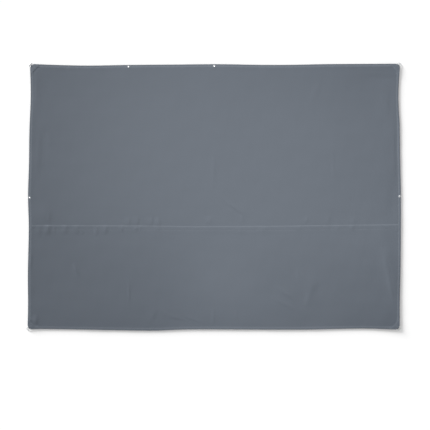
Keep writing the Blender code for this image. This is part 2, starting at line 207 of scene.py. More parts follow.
@dataclass(frozen=True)
class Curve:
    """A smooth curve through rows of place and value."""

    rows: tuple[tuple[float, float], ...]

    def at(self, places: Floats) -> Floats:
        """Values of the curve.

        Args:
            places: where it is read; beyond its ends it holds its end values.

        Returns:
            One value for each place.
        """
        x, y = np.array(self.rows).T
        p = np.clip(places, x[0], x[-1])
        k = np.clip(np.searchsorted(x, p), 1, len(x) - 1)
        before, after = np.maximum(k - 2, 0), np.minimum(k + 1, len(x) - 1)
        slope0 = (y[k] - y[before]) / (x[k] - x[before])
        slope1 = (y[after] - y[k - 1]) / (x[after] - x[k - 1])
        step = x[k] - x[k - 1]
        t = (p - x[k - 1]) / step
        return (
            y[k - 1] * (2 * t**3 - 3 * t**2 + 1)
            + y[k] * (3 * t**2 - 2 * t**3)
            + step * (slope0 * (t**3 - 2 * t**2 + t) + slope1 * (t**3 - t**2))
        )


@dataclass(frozen=True)
class Ridge:
    """A soft ridge or, where it is less than 0 high, a trough, with ends that die away."""

    u: float
    v: float
    heading: float  # degrees from +u
    length: float
    half_width: float
    height: float
    lean: float = 0.0  # how much steeper the side to the right of its heading is
    tail: float = 3.0  # half-widths out to where it has died away

    def lift(self, u: Floats, v: Floats) -> Floats:
        """How far the ridge raises points of the pattern.

        Args:
            u, v: the points.

        Returns:
            One height for each point.
        """
        turn = math.radians(self.heading)
        du, dv = u - self.u, v - self.v
        along = (du * math.cos(turn) + dv * math.sin(turn)) / (self.length / 2)
        across = (dv * math.cos(turn) - du * math.sin(turn)) / self.half_width
        across = across / (1 + self.lean * np.sign(across))
        swell = self.height * (1 - along**2) ** 2 * np.exp(-(across**2))
        return np.where((np.abs(along) < 1) & (np.abs(across) < self.tail), swell, 0.0)


@dataclass(frozen=True)
class FlatPattern:
    """Where the flat pattern lies on the floor, as in the solids."""

    edge_reach: float = 0.60  # how far in from a side its wander is felt,
    seam_reach: float = 0.40  # and how far up and down from the seam
    straight_rise: float = 0.16  # in from a side, its lift falls straight so far,
    curved_rise: float = 0.60  # and then in a curve until here
    corner_zone: float = 0.26  # so far from its ends a side stands as near its corners,
    zone_blend: float = 0.35  # and over this length it changes to as midway
    # each side and the seam: place along it, and how far up or to the right it wanders
    top: Curve = Curve(((-1.71, 0.002), (-1.46, -0.007), (-1.17, -0.012), (-0.80, -0.006),
                        (-0.33, -0.002), (0.05, 0.001), (0.43, -0.005), (0.71, -0.005),
                        (1.09, 0.002), (1.71, 0.005)))
    bottom: Curve = Curve(((-1.73, -0.001), (-1.64, -0.005), (-1.27, 0.000), (-0.89, 0.007),
                           (-0.55, 0.010), (-0.33, 0.001), (-0.14, -0.002), (0.80, 0.001),
                           (1.40, -0.009), (1.71, -0.001)))
    left: Curve = Curve(((-1.22, 0.008), (-1.04, 0.004), (-0.74, 0.006), (-0.29, -0.003),
                         (0.01, 0.004), (0.32, -0.005), (0.62, -0.009), (0.92, -0.020),
                         (1.10, -0.019), (1.23, -0.014)))
    right: Curve = Curve(((-1.21, -0.002), (-0.97, -0.001), (-0.67, 0.006), (0.00, 0.0095),
                          (0.39, 0.002), (0.69, -0.002), (0.86, -0.012), (0.99, -0.013),
                          (1.15, -0.005), (1.23, 0.002)))
    seam: Curve = Curve(((-1.70, -0.004), (-0.75, -0.005), (-0.20, -0.011), (0.50, -0.009),
                         (1.05, -0.002), (1.70, 0.006)))
    folds: tuple[Ridge, ...] = (
        Ridge(1.665, -0.75, -78.0, 0.90, 0.062, 0.0040),
        Ridge(0.923, -0.858, 60.0, 0.26, 0.070, 0.0028, 0.50),
        Ridge(0.70, -1.04, -45.0, 0.50, 0.110, 0.0022),
        Ridge(-1.625, 0.40, 88.0, 0.62, 0.050, -0.0020, -0.45),
        Ridge(1.58, 1.118, -3.0, 0.44, 0.055, -0.0028, -0.45),
    )
    shift: tuple[float, float] = (0.0, 0.0)  # from the pattern's middle to the part's

    def spread(self, u: Floats, v: Floats) -> tuple[Floats, Floats]:
        """Spreads points of the pattern on the floor.

        Args:
            u, v: the points.

        Returns:
            Their world x and their world y.
        """
        reach, wide, deep = self.edge_reach, CUT.half_width, CUT.half_depth
        x = u + self.right.at(v) * fade(wide - u, reach) - self.left.at(v) * fade(u + wide, reach)
        y = v + self.top.at(u) * fade(deep - v, reach) - self.bottom.at(u) * fade(v + deep, reach)
        y = y + self.seam.at(u) * fade(v - CUT.seam_v, self.seam_reach)
        return x + self.shift[0], y + self.shift[1]

    def side_rise(self, distance: Floats) -> Floats:
        """How much of a side's lift is left further in: it falls straight, then in a curve.

        Args:
            distance: how far into the cloth each point lies.

        Returns:
            One share of the lift for each point.
        """
        slope = 2.0 / (self.straight_rise + self.curved_rise)
        bend = self.curved_rise - self.straight_rise
        curved = 0.5 * slope * (self.curved_rise - distance) ** 2 / bend
        curved = np.where(distance < self.curved_rise, curved, 0.0)
        return np.where(distance <= self.straight_rise, 1.0 - slope * distance, curved)

    def height(self, u: Floats, v: Floats) -> Floats:
        """How far the cloth's underside stands off the floor.

        Args:
            u, v: points of the pattern.

        Returns:
            One height for each point.
        """
        total = sum(fold.lift(u, v) for fold in self.folds)
        for side in Side:
            along, distance, half_length = side.place(u, v)
            corners, middle = side.value
            inner = self.corner_zone
            share = ramp(half_length - np.abs(along), inner, inner + self.zone_blend)
            total = total + (corners + (middle - corners) * share) * self.side_rise(distance)
        return total

    def lies_at(self, u: Floats, v: Floats, above: Floats | float = 0.0) -> Floats:
        """World places of points of the pattern, above the cloth's underside.

        Args:
            u, v: the points.
            above: how far over the underside each one is.

        Returns:
            One row of x, y and z for each point.
        """
        u, v = np.asarray(u, float), np.asarray(v, float)
        x, y = self.spread(u, v)
        return np.stack([x, y, self.height(u, v) + above], axis=-1)

    def local_frame(self, u: float, v: float, out_u: float, out_v: float) -> Matrix:
        """Axes at a point: Y square to the given pattern direction, Z off the cloth.

        Args:
            u, v: the point.
            out_u, out_v: the direction, of length 1.

        Returns:
            The frame, in the world.
        """
        step = CUT.frame_step
        here = Vector(self.lies_at(u, v))
        x_axis = Vector(self.lies_at(u + out_u * step, v + out_v * step)) - here
        y_axis = Vector(self.lies_at(u - out_v * step, v + out_u * step)) - here
        z_axis = x_axis.cross(y_axis).normalized()
        y_axis.normalize()
        turn = Matrix((y_axis.cross(z_axis), y_axis, z_axis)).transposed().to_4x4()
        return Matrix.Translation(here) @ turn

    def corner_frame(self, corner: Corner) -> Matrix:
        """Axes at the middle of a cut edge, half way through the hem: +X leads outwards.

        Args:
            corner: which corner.

        Returns:
            The frame, in the world.
        """
        sign_u, sign_v = corner.value
        half, inset = math.sqrt(0.5), CUT.corner_leg / 2
        u, v = sign_u * (CUT.half_width - inset), sign_v * (CUT.half_depth - inset)
        turn = self.local_frame(u, v, sign_u * half, sign_v * half)
        return turn @ Matrix.Translation((0.0, 0.0, CUT.hem / 2))

    def settled(self) -> FlatPattern:
        """Finds where the solids lie, from the eyelet in the middle of the top hem.

        Returns:
            This pattern, shifted to match them.
        """
        low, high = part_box(Hole.TOP_MIDDLE.label)
        x, y = self.spread(*np.array(Hole.TOP_MIDDLE.value))
        shift = ((low.x + high.x) / 2 - float(x), (low.y + high.y) / 2 - float(y))
        return FlatPattern(shift=shift)


@dataclass(frozen=True)
class Face:
    """How far the upper face stands over the underside: swells, seam, puckers, creases."""

    swell: Curve = Curve((
        # distance in from the outer fold, height over plain cloth
        (0.000, 0.0006), (0.004, 0.0004), (0.008, 0.0003), (0.013, 0.0005), (0.0175, 0.0008),
        (0.0210, 0.0008), (0.0242, 0.0006), (0.030, 0.0005), (0.040, 0.0003), (0.052, 0.0001),
        (0.065, 0.0000),
    ))
    swell_reach: float = 0.065
    swell_strength: tuple[float, ...] = (1.0, 1.0, 0.25, 0.20)  # of each side's swell, as in Side
    swell_most: float = 0.0030
    uneven: float = 0.22  # how much a hem's swell comes and goes along its side,
    uneven_waves: tuple[float, float] = (7.3, 2.9)  # and its two waves, in radians a metre
    nose: float = 0.0010  # over this width the outer fold rounds off
    fold: float = 0.0005  # over this width a hem's inner fold steps down
    stitch_dip: float = 0.0004
    stitch_half_width: float = 0.0028
    clamp_reach: float = 0.016  # round an eyelet, where the hem is pressed flat
    clamp_rise: float = 0.00015  # what is left there over the hem's own thickness
    patch_clear: tuple[float, float] = (0.006, 0.040)  # past a patch, relief starts and is whole
    press_over: float = 0.005  # below the seam's fold, the upper panel is pressed thin
    pucker_stop: tuple[float, float] = (0.004, 0.003)  # below and above the fold
    held: float = 0.35  # how much the upper row of stitches flattens the puckers,
    held_over: tuple[float, float] = (0.034, 0.006)  # and from where to where below the fold
    waves: tuple[tuple[float, float, float, float], ...] = (
        # height, wavelength, heading (degrees), phase
        (0.00040, 0.310, 24.0, 0.7), (0.00034, 0.233, -57.0, 2.1),
        (0.00028, 0.171, 81.0, 4.4), (0.00022, 0.127, -14.0, 5.2),
    )
    ripples: tuple[tuple[float, float], ...] = (
        # wavelength along a hem, phase: their sum puckers the hem's stitching
        (0.043, 0.4), (0.067, 2.6), (0.091, 1.1),
    )
    ripple_height: float = 0.00016
    ripple_half_width: float = 0.014
    puckers_below: tuple[Ridge, ...] = (
        # in the lower panel's edge, from its left end
        Ridge(-1.652, -0.305, 90.0, 0.190, 0.026, 0.0020, 0.20),
        Ridge(-1.567, -0.289, 89.0, 0.180, 0.030, 0.0044, 0.15),
        Ridge(-1.508, -0.310, 90.0, 0.140, 0.016, 0.0014, 0.35),
        Ridge(-1.405, -0.292, 92.0, 0.150, 0.027, 0.0026, 0.20),
        Ridge(-1.290, -0.292, 88.0, 0.150, 0.028, 0.0026, 0.25),
        Ridge(-1.245, -0.330, 91.0, 0.100, 0.014, 0.0014, 0.35),
        Ridge(-1.108, -0.318, 90.0, 0.120, 0.018, 0.0020, 0.35),
        Ridge(-1.020, -0.296, 90.0, 0.130, 0.024, 0.0024, 0.40),
        Ridge(-0.866, -0.290, 92.0, 0.090, 0.016, 0.0018, 0.35),
        Ridge(-0.732, -0.288, 88.0, 0.090, 0.016, 0.0022, 0.35),
        Ridge(-0.698, -0.288, 92.0, 0.080, 0.013, 0.0016, 0.35),
        Ridge(-0.522, -0.286, 90.0, 0.080, 0.016, 0.0011, 0.35),
        Ridge(0.250, -0.312, 104.0, 0.110, 0.016, 0.0011, 0.35),
        Ridge(0.462, -0.305, 102.0, 0.140, 0.018, 0.0016, 0.40),
        Ridge(0.808, -0.287, 98.0, 0.080, 0.015, 0.0015, 0.35),
        Ridge(0.936, -0.285, 90.0, 0.070, 0.014, 0.0010, 0.35),
        Ridge(1.068, -0.285, 91.0, 0.070, 0.014, 0.0011, 0.35),
        Ridge(1.172, -0.285, 88.0, 0.070, 0.014, 0.0010, 0.35),
        Ridge(1.304, -0.288, 92.0, 0.085, 0.015, 0.0014, 0.35),
    )
    puckers_above: tuple[Ridge, ...] = (
        # in the upper panel, along the seam
        Ridge(-0.803, -0.226, 91.0, 0.110, 0.020, 0.0014, 0.50),
        Ridge(-0.722, -0.226, 90.0, 0.120, 0.026, 0.0020, 0.60),
        Ridge(-0.588, -0.226, 88.0, 0.120, 0.026, 0.0022, 0.60),
        Ridge(-0.520, -0.230, 102.0, 0.110, 0.024, 0.0022, 0.60),
        Ridge(-0.034, -0.212, 90.0, 0.090, 0.024, 0.0020, 0.60),
        Ridge(0.268, -0.200, 98.0, 0.110, 0.016, 0.0012, 0.35),
        Ridge(0.874, -0.216, 74.0, 0.090, 0.016, 0.0015, 0.35),
        Ridge(1.080, -0.216, 80.0, 0.130, 0.022, 0.0012, 0.45),
        Ridge(1.316, -0.222, 88.0, 0.090, 0.018, 0.0011),
        Ridge(-1.552, -0.180, 84.0, 0.200, 0.016, 0.0011, 0.40),
        Ridge(-1.670, -0.160, 88.0, 0.300, 0.045, 0.0010),
    )
    creases: tuple[Ridge, ...] = (
        # in the upper panel
        Ridge(0.165, -0.084, -34.0, 0.420, 0.013, 0.0028, 0.50),
        Ridge(-0.005, 0.240, 90.0, 0.420, 0.013, 0.0009),
        Ridge(1.125, 0.320, 90.0, 0.420, 0.014, 0.0008, 0.30),
        Ridge(0.960, 1.000, 62.0, 0.300, 0.020, 0.0008),
        # beside the left hem
        Ridge(-1.560, 0.540, 92.0, 0.200, 0.034, 0.0014),
        Ridge(-1.603, -0.150, 86.0, 0.300, 0.045, 0.0022),
        Ridge(-1.694, 1.030, 90.0, 0.440, 0.024, 0.0016, -0.40),
        Ridge(-1.640, 0.360, 88.0, 0.420, 0.055, 0.0014),
        Ridge(-1.722, -0.600, 90.0, 0.200, 0.018, 0.0016, 0.40),
        Ridge(-1.678, -1.175, 92.0, 0.140, 0.028, 0.0034, 0.30),
        # beside the right hem
        Ridge(1.716, 0.456, 90.0, 0.900, 0.032, -0.0018, -0.50),
        Ridge(1.690, 0.020, 86.0, 0.700, 0.075, -0.0020, -0.30),
        Ridge(1.636, 0.870, 84.0, 0.360, 0.050, 0.0012, 0.50),
        Ridge(1.579, -0.345, 88.0, 0.280, 0.055, 0.0014),
        Ridge(1.642, -0.765, -78.0, 0.660, 0.016, 0.0013),
        Ridge(1.628, -1.112, 52.0, 0.320, 0.064, 0.0008, 0.40),
        # the lower right
        Ridge(0.796, -0.735, 100.0, 0.170, 0.016, 0.0010, 0.40),
        Ridge(0.886, -0.962, 70.0, 0.180, 0.050, 0.0026, -0.50),
        Ridge(0.824, -0.749, 95.0, 0.200, 0.035, 0.0012),
        Ridge(0.664, -0.908, -34.0, 0.260, 0.011, 0.0032, 0.35),
        Ridge(0.664, -1.013, -25.0, 0.360, 0.011, 0.0024, 0.35),
        Ridge(0.215, -1.105, 96.0, 0.130, 0.012, 0.0013, 0.40),
        # above the bottom hem, near the middle
        Ridge(-0.005, -1.130, 90.0, 0.220, 0.011, 0.0018, 0.35),
        Ridge(-0.490, -1.075, -24.0, 0.200, 0.011, 0.0012, 0.35),
        Ridge(-0.395, -1.130, -16.0, 0.330, 0.012, 0.0017, 0.35),
        Ridge(-0.220, -1.150, -22.0, 0.280, 0.012, 0.0015, 0.35),
        Ridge(-0.570, -1.110, 62.0, 0.180, 0.028, 0.0016, 0.40),
        # the lower left
        Ridge(-0.800, -0.895, 90.0, 0.260, 0.011, 0.0015, 0.35),
        Ridge(-1.305, -0.683, -64.0, 0.150, 0.012, 0.0032),
    )

    def under_patch(self, u: Floats, v: Floats) -> Floats:
        """How far points lie under a corner's patch.

        Args:
            u, v: points of the pattern.

        Returns:
            1 under a patch, and 0 well clear of it.
        """
        near, clear = (CUT.patch_leg + past for past in self.patch_clear)
        share = np.zeros_like(u)
        for corner in Corner:
            share = np.maximum(share, 1 - ramp(sum(corner.inwards(u, v)), near, clear))
        return share

    def swells(self, u: Floats, v: Floats) -> Floats:
        """The hems' puffed strips, their stitched valleys and the soft ridges inside them.

        Args:
            u, v: points of the pattern.

        Returns:
            One height for each point.
        """
        total = np.zeros_like(u)
        puckered = np.zeros_like(u)
        first, second = self.uneven_waves
        for number, (side, strength) in enumerate(zip(Side, self.swell_strength)):
            along, distance, _ = side.place(u, v)
            wave = np.sin(along * first + number) * np.sin(along * second + 2.0 * number)
            swell = self.swell.at(distance) * strength * (1.0 + self.uneven * wave)
            total = total + swell * (distance < self.swell_reach)
            ripple = sum(np.sin(along * math.tau / long + phase + number) for long, phase in self.ripples)
            near_row = bell(distance, CUT.hem_stitch, self.ripple_half_width)
            puckered = puckered + ripple * near_row * self.ripple_height
        return np.minimum(total, self.swell_most) + puckered

    def hem_step(self, u: Floats, v: Floats) -> Floats:
        """The plain step from one layer of cloth to the folded hem.

        Args:
            u, v: points of the pattern.

        Returns:
            One height for each point.
        """
        inner = np.minimum.reduce([side.place(u, v)[1] for side in Side])
        in_hem = 1 - ramp(inner, CUT.hem_width, CUT.hem_width + self.fold)
        return (CUT.hem - CUT.cloth) * in_hem

    def seam_rows(self, v: Floats) -> Floats:
        """The shallow valleys that the two rows of the seam's stitching pull."""
        rows = [bell(v, CUT.seam_v - row, self.stitch_half_width) for row in CUT.seam_stitches]
        return -self.stitch_dip * sum(rows)

    def lap(self, v: Floats) -> Floats:
        """How far the lower panel is raised to lie on the upper one."""
        start = CUT.seam_v - CUT.lap - CUT.lap_ramp
        return CUT.lap_step * ramp(v, start, CUT.seam_v - CUT.lap)

    def pressed(self, v: Floats) -> Floats:
        """How much thinner the upper panel is pressed where the lower one lies on it."""
        bite = CUT.cloth - CUT.lap_step + CUT.layer_gap
        return bite * (1 - ramp(v, CUT.seam_v - self.press_over, CUT.seam_v))

    def relief(self, u: Floats, v: Floats) -> Floats:
        """Everything that puckers, creases and waves add, the same for both panels.

        Args:
            u, v: points of the pattern.

        Returns:
            One height for each point.
        """
        total = sum(crease.lift(u, v) for crease in self.creases)
        below, above = (sum(pucker.lift(u, v) for pucker in row)
                        for row in (self.puckers_below, self.puckers_above))
        past = ramp(v, CUT.seam_v - self.pucker_stop[0], CUT.seam_v + self.pucker_stop[1])
        start, stop = (CUT.seam_v - under for under in self.held_over)
        total = total + below * (1 - self.held * ramp(v, start, stop)) * (1 - past) + above * past
        for tall, long, heading, phase in self.waves:
            turn = math.radians(heading)
            along = u * math.cos(turn) + v * math.sin(turn)
            total = total + tall * (1 + np.sin(along * math.tau / long + phase)) / 2
        return total + self.seam_rows(v)

    def clamped(self, u: Floats, v: Floats, face: Floats) -> Floats:
        """Presses the hem flat round each eyelet.

        Args:
            u, v: points of the pattern.
            face: the height of the upper face at each.

        Returns:
            The heights, now pressed.
        """
        flat = CUT.hem + self.clamp_rise
        for hole in Hole:
            away = np.hypot(u - hole.value[0], v - hole.value[1])
            face = flat + (face - flat) * ramp(away, CUT.flange_r, self.clamp_reach)
        return face

    def over(self, u: Floats, v: Floats, raised: Floats | float = 0.0) -> Floats:
        """Height of the upper face over the cloth's underside.

        Args:
            u, v: points of the pattern.
            raised: what the lap adds there.

        Returns:
            One height for each point.
        """
        covered = self.under_patch(u, v)
        plain = self.hem_step(u, v)
        free = self.swells(u, v) + self.relief(u, v)
        return self.clamped(u, v, CUT.cloth + raised + plain * covered + free * (1 - covered))


# --- Meshes -------------------------------------------------------------------------

SLACK = 1e-9  # what rounding may add to a count of steps
TOUCHING = 1e-6  # metres within which two places are one
SHARP_ANGLE = 50.0  # degrees between two faces from which their edge is drawn sharp
THINNEST = 0.12  # share of its thickness that a fold keeps, so that its faces never meet


def evenly(low: float, high: float, most: float) -> list[float]:
    """Places from low to high, both included, no further apart than most."""
    count = max(1, math.ceil((high - low) / most - SLACK))
    return [low + (high - low) * k / count for k in range(count + 1)]


def joined(*stretches: list[float]) -> list[float]:
    """Runs stretches of places together, each shared end named once.

    Args:
        stretches: the places, each stretch beginning where the one before it ends.

    Returns:
        All the places.
    """
    places = list(stretches[0])
    for stretch in stretches[1:]:
        places += stretch[1:]
    return places


def flat_grid(columns: list[float], rows: list[float]) -> bmesh.types.BMesh:
    """An open sheet of the flat pattern.

    Args:
        columns, rows: where its vertices lie along u and along v.

    Returns:
        The sheet.
    """
    bm = bmesh.new()
    verts = [[bm.verts.new((u, v, 0.0)) for u in columns] for v in rows]
    for low, high in zip(verts, verts[1:]):
        for k in range(len(columns) - 1):
            bm.faces.new((low[k], low[k + 1], high[k + 1], high[k]))
    return bm


def crop(bm: bmesh.types.BMesh, point: tuple[float, float], outwards: tuple[float, float],
         keep_outer: bool = False) -> None:
    """Cuts a flat sheet along a line, and takes away what lies beyond it.

    Args:
        bm: the flat sheet.
        point: a point of the line.
        outwards: the direction square to the line that leads off the sheet.
        keep_outer: leaves the cut as a row of edges and takes nothing away.
    """
    bmesh.ops.bisect_plane(bm, geom=bm.verts[:] + bm.edges[:] + bm.faces[:], dist=TOUCHING,
                           plane_co=(*point, 0.0), plane_no=(*outwards, 0.0),
                           clear_outer=not keep_outer)


def crop_corner(bm: bmesh.types.BMesh, corner: Corner, insets: tuple[float, ...]) -> None:
    """Takes a corner off at 45 degrees.

    Args:
        bm: the flat sheet.
        corner: which corner.
        insets: how far inside the cut line to cut first, then further rows of edges.
    """
    sign_u, sign_v = corner.value
    for number, inset in enumerate(insets):
        u = CUT.half_width - CUT.corner_leg - inset * math.sqrt(2)
        crop(bm, (sign_u * u, sign_v * CUT.half_depth), (sign_u, sign_v), number > 0)


def from_edge(u: Floats, v: Floats) -> Floats:
    """How far points lie inside the sail's outline, its clipped corners included.

    Args:
        u, v: points of the pattern.

    Returns:
        One distance for each point.
    """
    sides = [side.place(u, v)[1] for side in Side]
    cuts = [(sum(corner.inwards(u, v)) - CUT.corner_leg) / math.sqrt(2) for corner in Corner]
    return np.minimum.reduce(sides + cuts)


def rounded_nose(distance: Floats, nose: float) -> Floats:
    """Share of the full thickness at a distance in from a folded edge, never quite 0."""
    t = 1.0 - np.clip(distance / nose, 0.0, 1.0)
    return np.maximum(np.sqrt(1.0 - t**2), THINNEST)


def new_object(name: str, verts: Floats, faces: list[tuple[int, ...]],
               wear: Floats | None = None) -> bpy.types.Object:
    """A smooth mesh object in the scene.

    Args:
        name: the piece's name.
        verts: one row for each vertex.
        faces: the vertices of each face, facing out.
        wear: how far the colour is painted darker, to -1, or lighter, to 1, at each vertex.

    Returns:
        The object.
    """
    mesh = bpy.data.meshes.new(name)
    mesh.from_pydata(verts.tolist(), [], faces)
    if wear is not None:
        mesh.attributes.new("wear", "FLOAT", "POINT").data.foreach_set("value", wear.astype(np.float32))
    mesh.shade_smooth()
    mesh.set_sharp_from_angle(angle=math.radians(SHARP_ANGLE))
    made = bpy.data.objects.new(name, mesh)
    bpy.context.scene.collection.objects.link(made)
    return made


@dataclass(frozen=True)
class Streak:
    """A strip painted lighter or, where it is less than 0 strong, darker, with soft sides."""

    strength: float
    middle: float
    half_width: float

    def at(self, places: Floats) -> Floats:
        """The wear at places across the strip."""
        return self.strength * bell(places, self.middle, self.half_width)


@dataclass(frozen=True)
class Wear:
    """Painted shade and highlights in the cloth's colour: -1 is darkest, 0 as dyed and 1 lightest."""

    hem_highlight: Streak = Streak(0.65, 0.0170, 0.0070)  # painted highlight along the stitching, in from a hem's outer fold
    hem_fold: Streak = Streak(-0.70, 0.0, 0.0065)  # painted shade along the outer fold
    # painted highlight along the lap's folded edge
    seam_highlight: Streak = Streak(1.0, CUT.seam_v, 0.0070)
    # the patches are drawn lighter, at their edges and on their faces, the top left one more
    patch_edge: Streak = Streak(0.40, 0.0, 0.0016)
    patch_face: float = 0.20
    patch_face_top_left: float = 0.45
    highlight_along: Streak = Streak(0.055, 0.30, 1.20)  # painted highlight over the middle: along u
    highlight_across: Streak = Streak(1.0, -0.25, 0.40)  # and across v
    right_end_shade: float = 0.060  # painted shade: the right end is darker, but for a streak below the seam
    right_end_shade_from: tuple[float, float] = (1.00, 1.35)
    right_end_streak: Streak = Streak(2.0, -0.33, 0.30)
    # darker towards the bottom edge, at its left and right ends
    bottom_dark_left: float = 0.17
    bottom_dark_left_ends: tuple[float, float] = (-1.00, -0.10)
    bottom_dark_right: float = 0.16
    bottom_dark_right_from: tuple[float, float] = (1.00, 1.60)
    bottom_dark_below: tuple[float, float] = (0.92, 1.24)  # of -v
    seam_shade: Streak = Streak(0.26, CUT.seam_v - 0.018, 0.014)  # painted shade just under the seam's fold
    seam_shade_ends: tuple[float, float] = (-1.75, -0.75)

    def hem(self, u: Floats, v: Floats) -> Floats:
        """A folded hem: painted shade along its outer fold and a painted highlight along its stitching."""
        distance = from_edge(u, v)
        return self.hem_highlight.at(distance) + self.hem_fold.at(distance)

    def patch(self, corner: Corner, u: Floats, v: Floats, inside: Floats) -> Floats:
        """A corner's patch, lighter on its face and at its edges, by how far inside points lie."""
        face_lighter = self.patch_face_top_left if corner is Corner.TOP_LEFT else self.patch_face
        return self.patch_edge.at(inside) + face_lighter - self.bottom_dark_and_seam_shade(u, v)

    def broad_light(self, u: Floats, v: Floats) -> Floats:
        """Painted highlight over the sail's middle, round the seam; painted shade at its right end.

        Args:
            u, v: points of the pattern.

        Returns:
            The painted light at each point.
        """
        middle = self.highlight_along.at(u) * self.highlight_across.at(v)
        right_shade = self.right_end_shade * ramp(u, *self.right_end_shade_from)
        return middle - right_shade * (1 - self.right_end_streak.at(v))

    def bottom_dark_and_seam_shade(self, u: Floats, v: Floats) -> Floats:
        """Darker along the bottom edge, and painted shade under the left part of the seam.

        Args:
            u, v: points of the pattern.

        Returns:
            How much darker each point is, 0 or more.
        """
        left = self.bottom_dark_left * (1 - ramp(u, *self.bottom_dark_left_ends))
        right = self.bottom_dark_right * ramp(u, *self.bottom_dark_right_from)
        under_seam = self.seam_shade.at(v) * (1 - ramp(u, *self.seam_shade_ends))
        return (left + right) * ramp(-v, *self.bottom_dark_below) + under_seam


@dataclass
class ClothMaker:
    """Turns flat sheets of the pattern into closed cloth that lies on the floor."""

    pattern: FlatPattern
    face: Face
    wear: Wear

    def closed(self, name: str, bm: bmesh.types.BMesh, top: Floats, low: Floats,
               wear: Floats) -> bpy.types.Object:
        """A closed sheet between two heights over the cloth's underside.

        Args:
            name: the piece's name.
            bm: the flat sheet, which is freed.
            top, low: heights of its two faces at each vertex.
            wear: how far each vertex's colour is painted darker or lighter.

        Returns:
            The piece.
        """
        u, v = self.places(bm)
        count = len(bm.verts)
        verts = np.concatenate([self.pattern.lies_at(u, v, top), self.pattern.lies_at(u, v, low)])
        faces: list[tuple[int, ...]] = []
        for face in bm.faces:
            ring = [vert.index for vert in face.verts]
            faces.append(tuple(ring))
            faces.append(tuple(index + count for index in reversed(ring)))
        for edge in bm.edges:
            if edge.is_boundary:
                loop = edge.link_loops[0]
                a, b = loop.vert.index, loop.link_loop_next.vert.index
                faces.append((a + count, b + count, b, a))
        bm.free()
        return new_object(name, verts, faces, np.concatenate([wear, wear]))

    @staticmethod
    def places(bm: bmesh.types.BMesh) -> tuple[Floats, Floats]:
        """The pattern coordinates of a flat sheet's vertices, in the order of their index.

        Args:
            bm: the flat sheet.

        Returns:
            Their u and their v.
        """
        bm.verts.index_update()
        bm.verts.ensure_lookup_table()
        flat = np.array([vert.co[:2] for vert in bm.verts])
        return flat[:, 0], flat[:, 1]


# --- Finishes -----------------------------------------------------------------------


def linear(code: str) -> tuple[float, float, float, float]:
    """Turns a colour written as sRGB hex to linear.

    Args:
        code: the colour, such as "#495059".

    Returns:
        Its linear red, green and blue, and an alpha of 1.
    """
    parts = [int(code[k : k + 2], 16) / 255 for k in (1, 3, 5)]
    low = [c / 12.92 if c <= 0.04045 else ((c + 0.055) / 1.055) ** 2.4 for c in parts]
    return (*low, 1.0)


def add(tree: bpy.types.NodeTree, kind: str, settings: dict[str, object],
        inputs: dict[str | int, object]) -> bpy.types.Node:
    """Adds one node.

    Args:
        tree: the material's node tree.
        kind: Blender's name for the node.
        settings: its properties.
        inputs: its sockets by name or number, each with a value or a socket to link.

    Returns:
        The node.
    """
    node = tree.nodes.new(kind)
    for name, value in settings.items():
        setattr(node, name, value)
    for key, value in inputs.items():
        if isinstance(value, bpy.types.NodeSocket):
            tree.links.new(value, node.inputs[key])
        else:
            node.inputs[key].default_value = value
    return node


def blank(name: str) -> tuple[bpy.types.Material, bpy.types.NodeTree, bpy.types.Node]:
    """A new material.

    Args:
        name: what it is called.

    Returns:
        The material, its node tree and its Principled shader.
    """
    material = bpy.data.materials.new(name)
    material.use_nodes = True
    return material, material.node_tree, material.node_tree.nodes["Principled BSDF"]


def threads(tree: bpy.types.NodeTree, place: bpy.types.NodeSocket, spacing: float
            ) -> bpy.types.NodeSocket:
    """A wave from -1 to 1 that repeats each spacing, in metres."""
    turned = add(tree, "ShaderNodeMath", {"operation": "MULTIPLY"}, {0: place, 1: math.tau / spacing})
    return add(tree, "ShaderNodeMath", {"operation": "SINE"}, {0: turned.outputs[0]}).outputs[0]


def placed(tree: bpy.types.NodeTree) -> tuple[bpy.types.NodeSocket, bpy.types.bpy_prop_collection]:
    """The piece's own coordinates in metres, whole, and as axes by their names."""
    coords = add(tree, "ShaderNodeTexCoord", {}, {}).outputs["Object"]
    return coords, add(tree, "ShaderNodeSeparateXYZ", {}, {0: coords}).outputs


def shaded(tree: bpy.types.NodeTree, shader: bpy.types.Node,
           colour: bpy.types.NodeSocket | tuple[float, ...], value: bpy.types.NodeSocket) -> None:
    """Gives the shader a colour, made lighter or darker at each place by a value round 1."""
    dyed = add(tree, "ShaderNodeVectorMath", {"operation": "SCALE"}, {0: colour, "Scale": value})
    tree.links.new(dyed.outputs[0], shader.inputs["Base Color"])


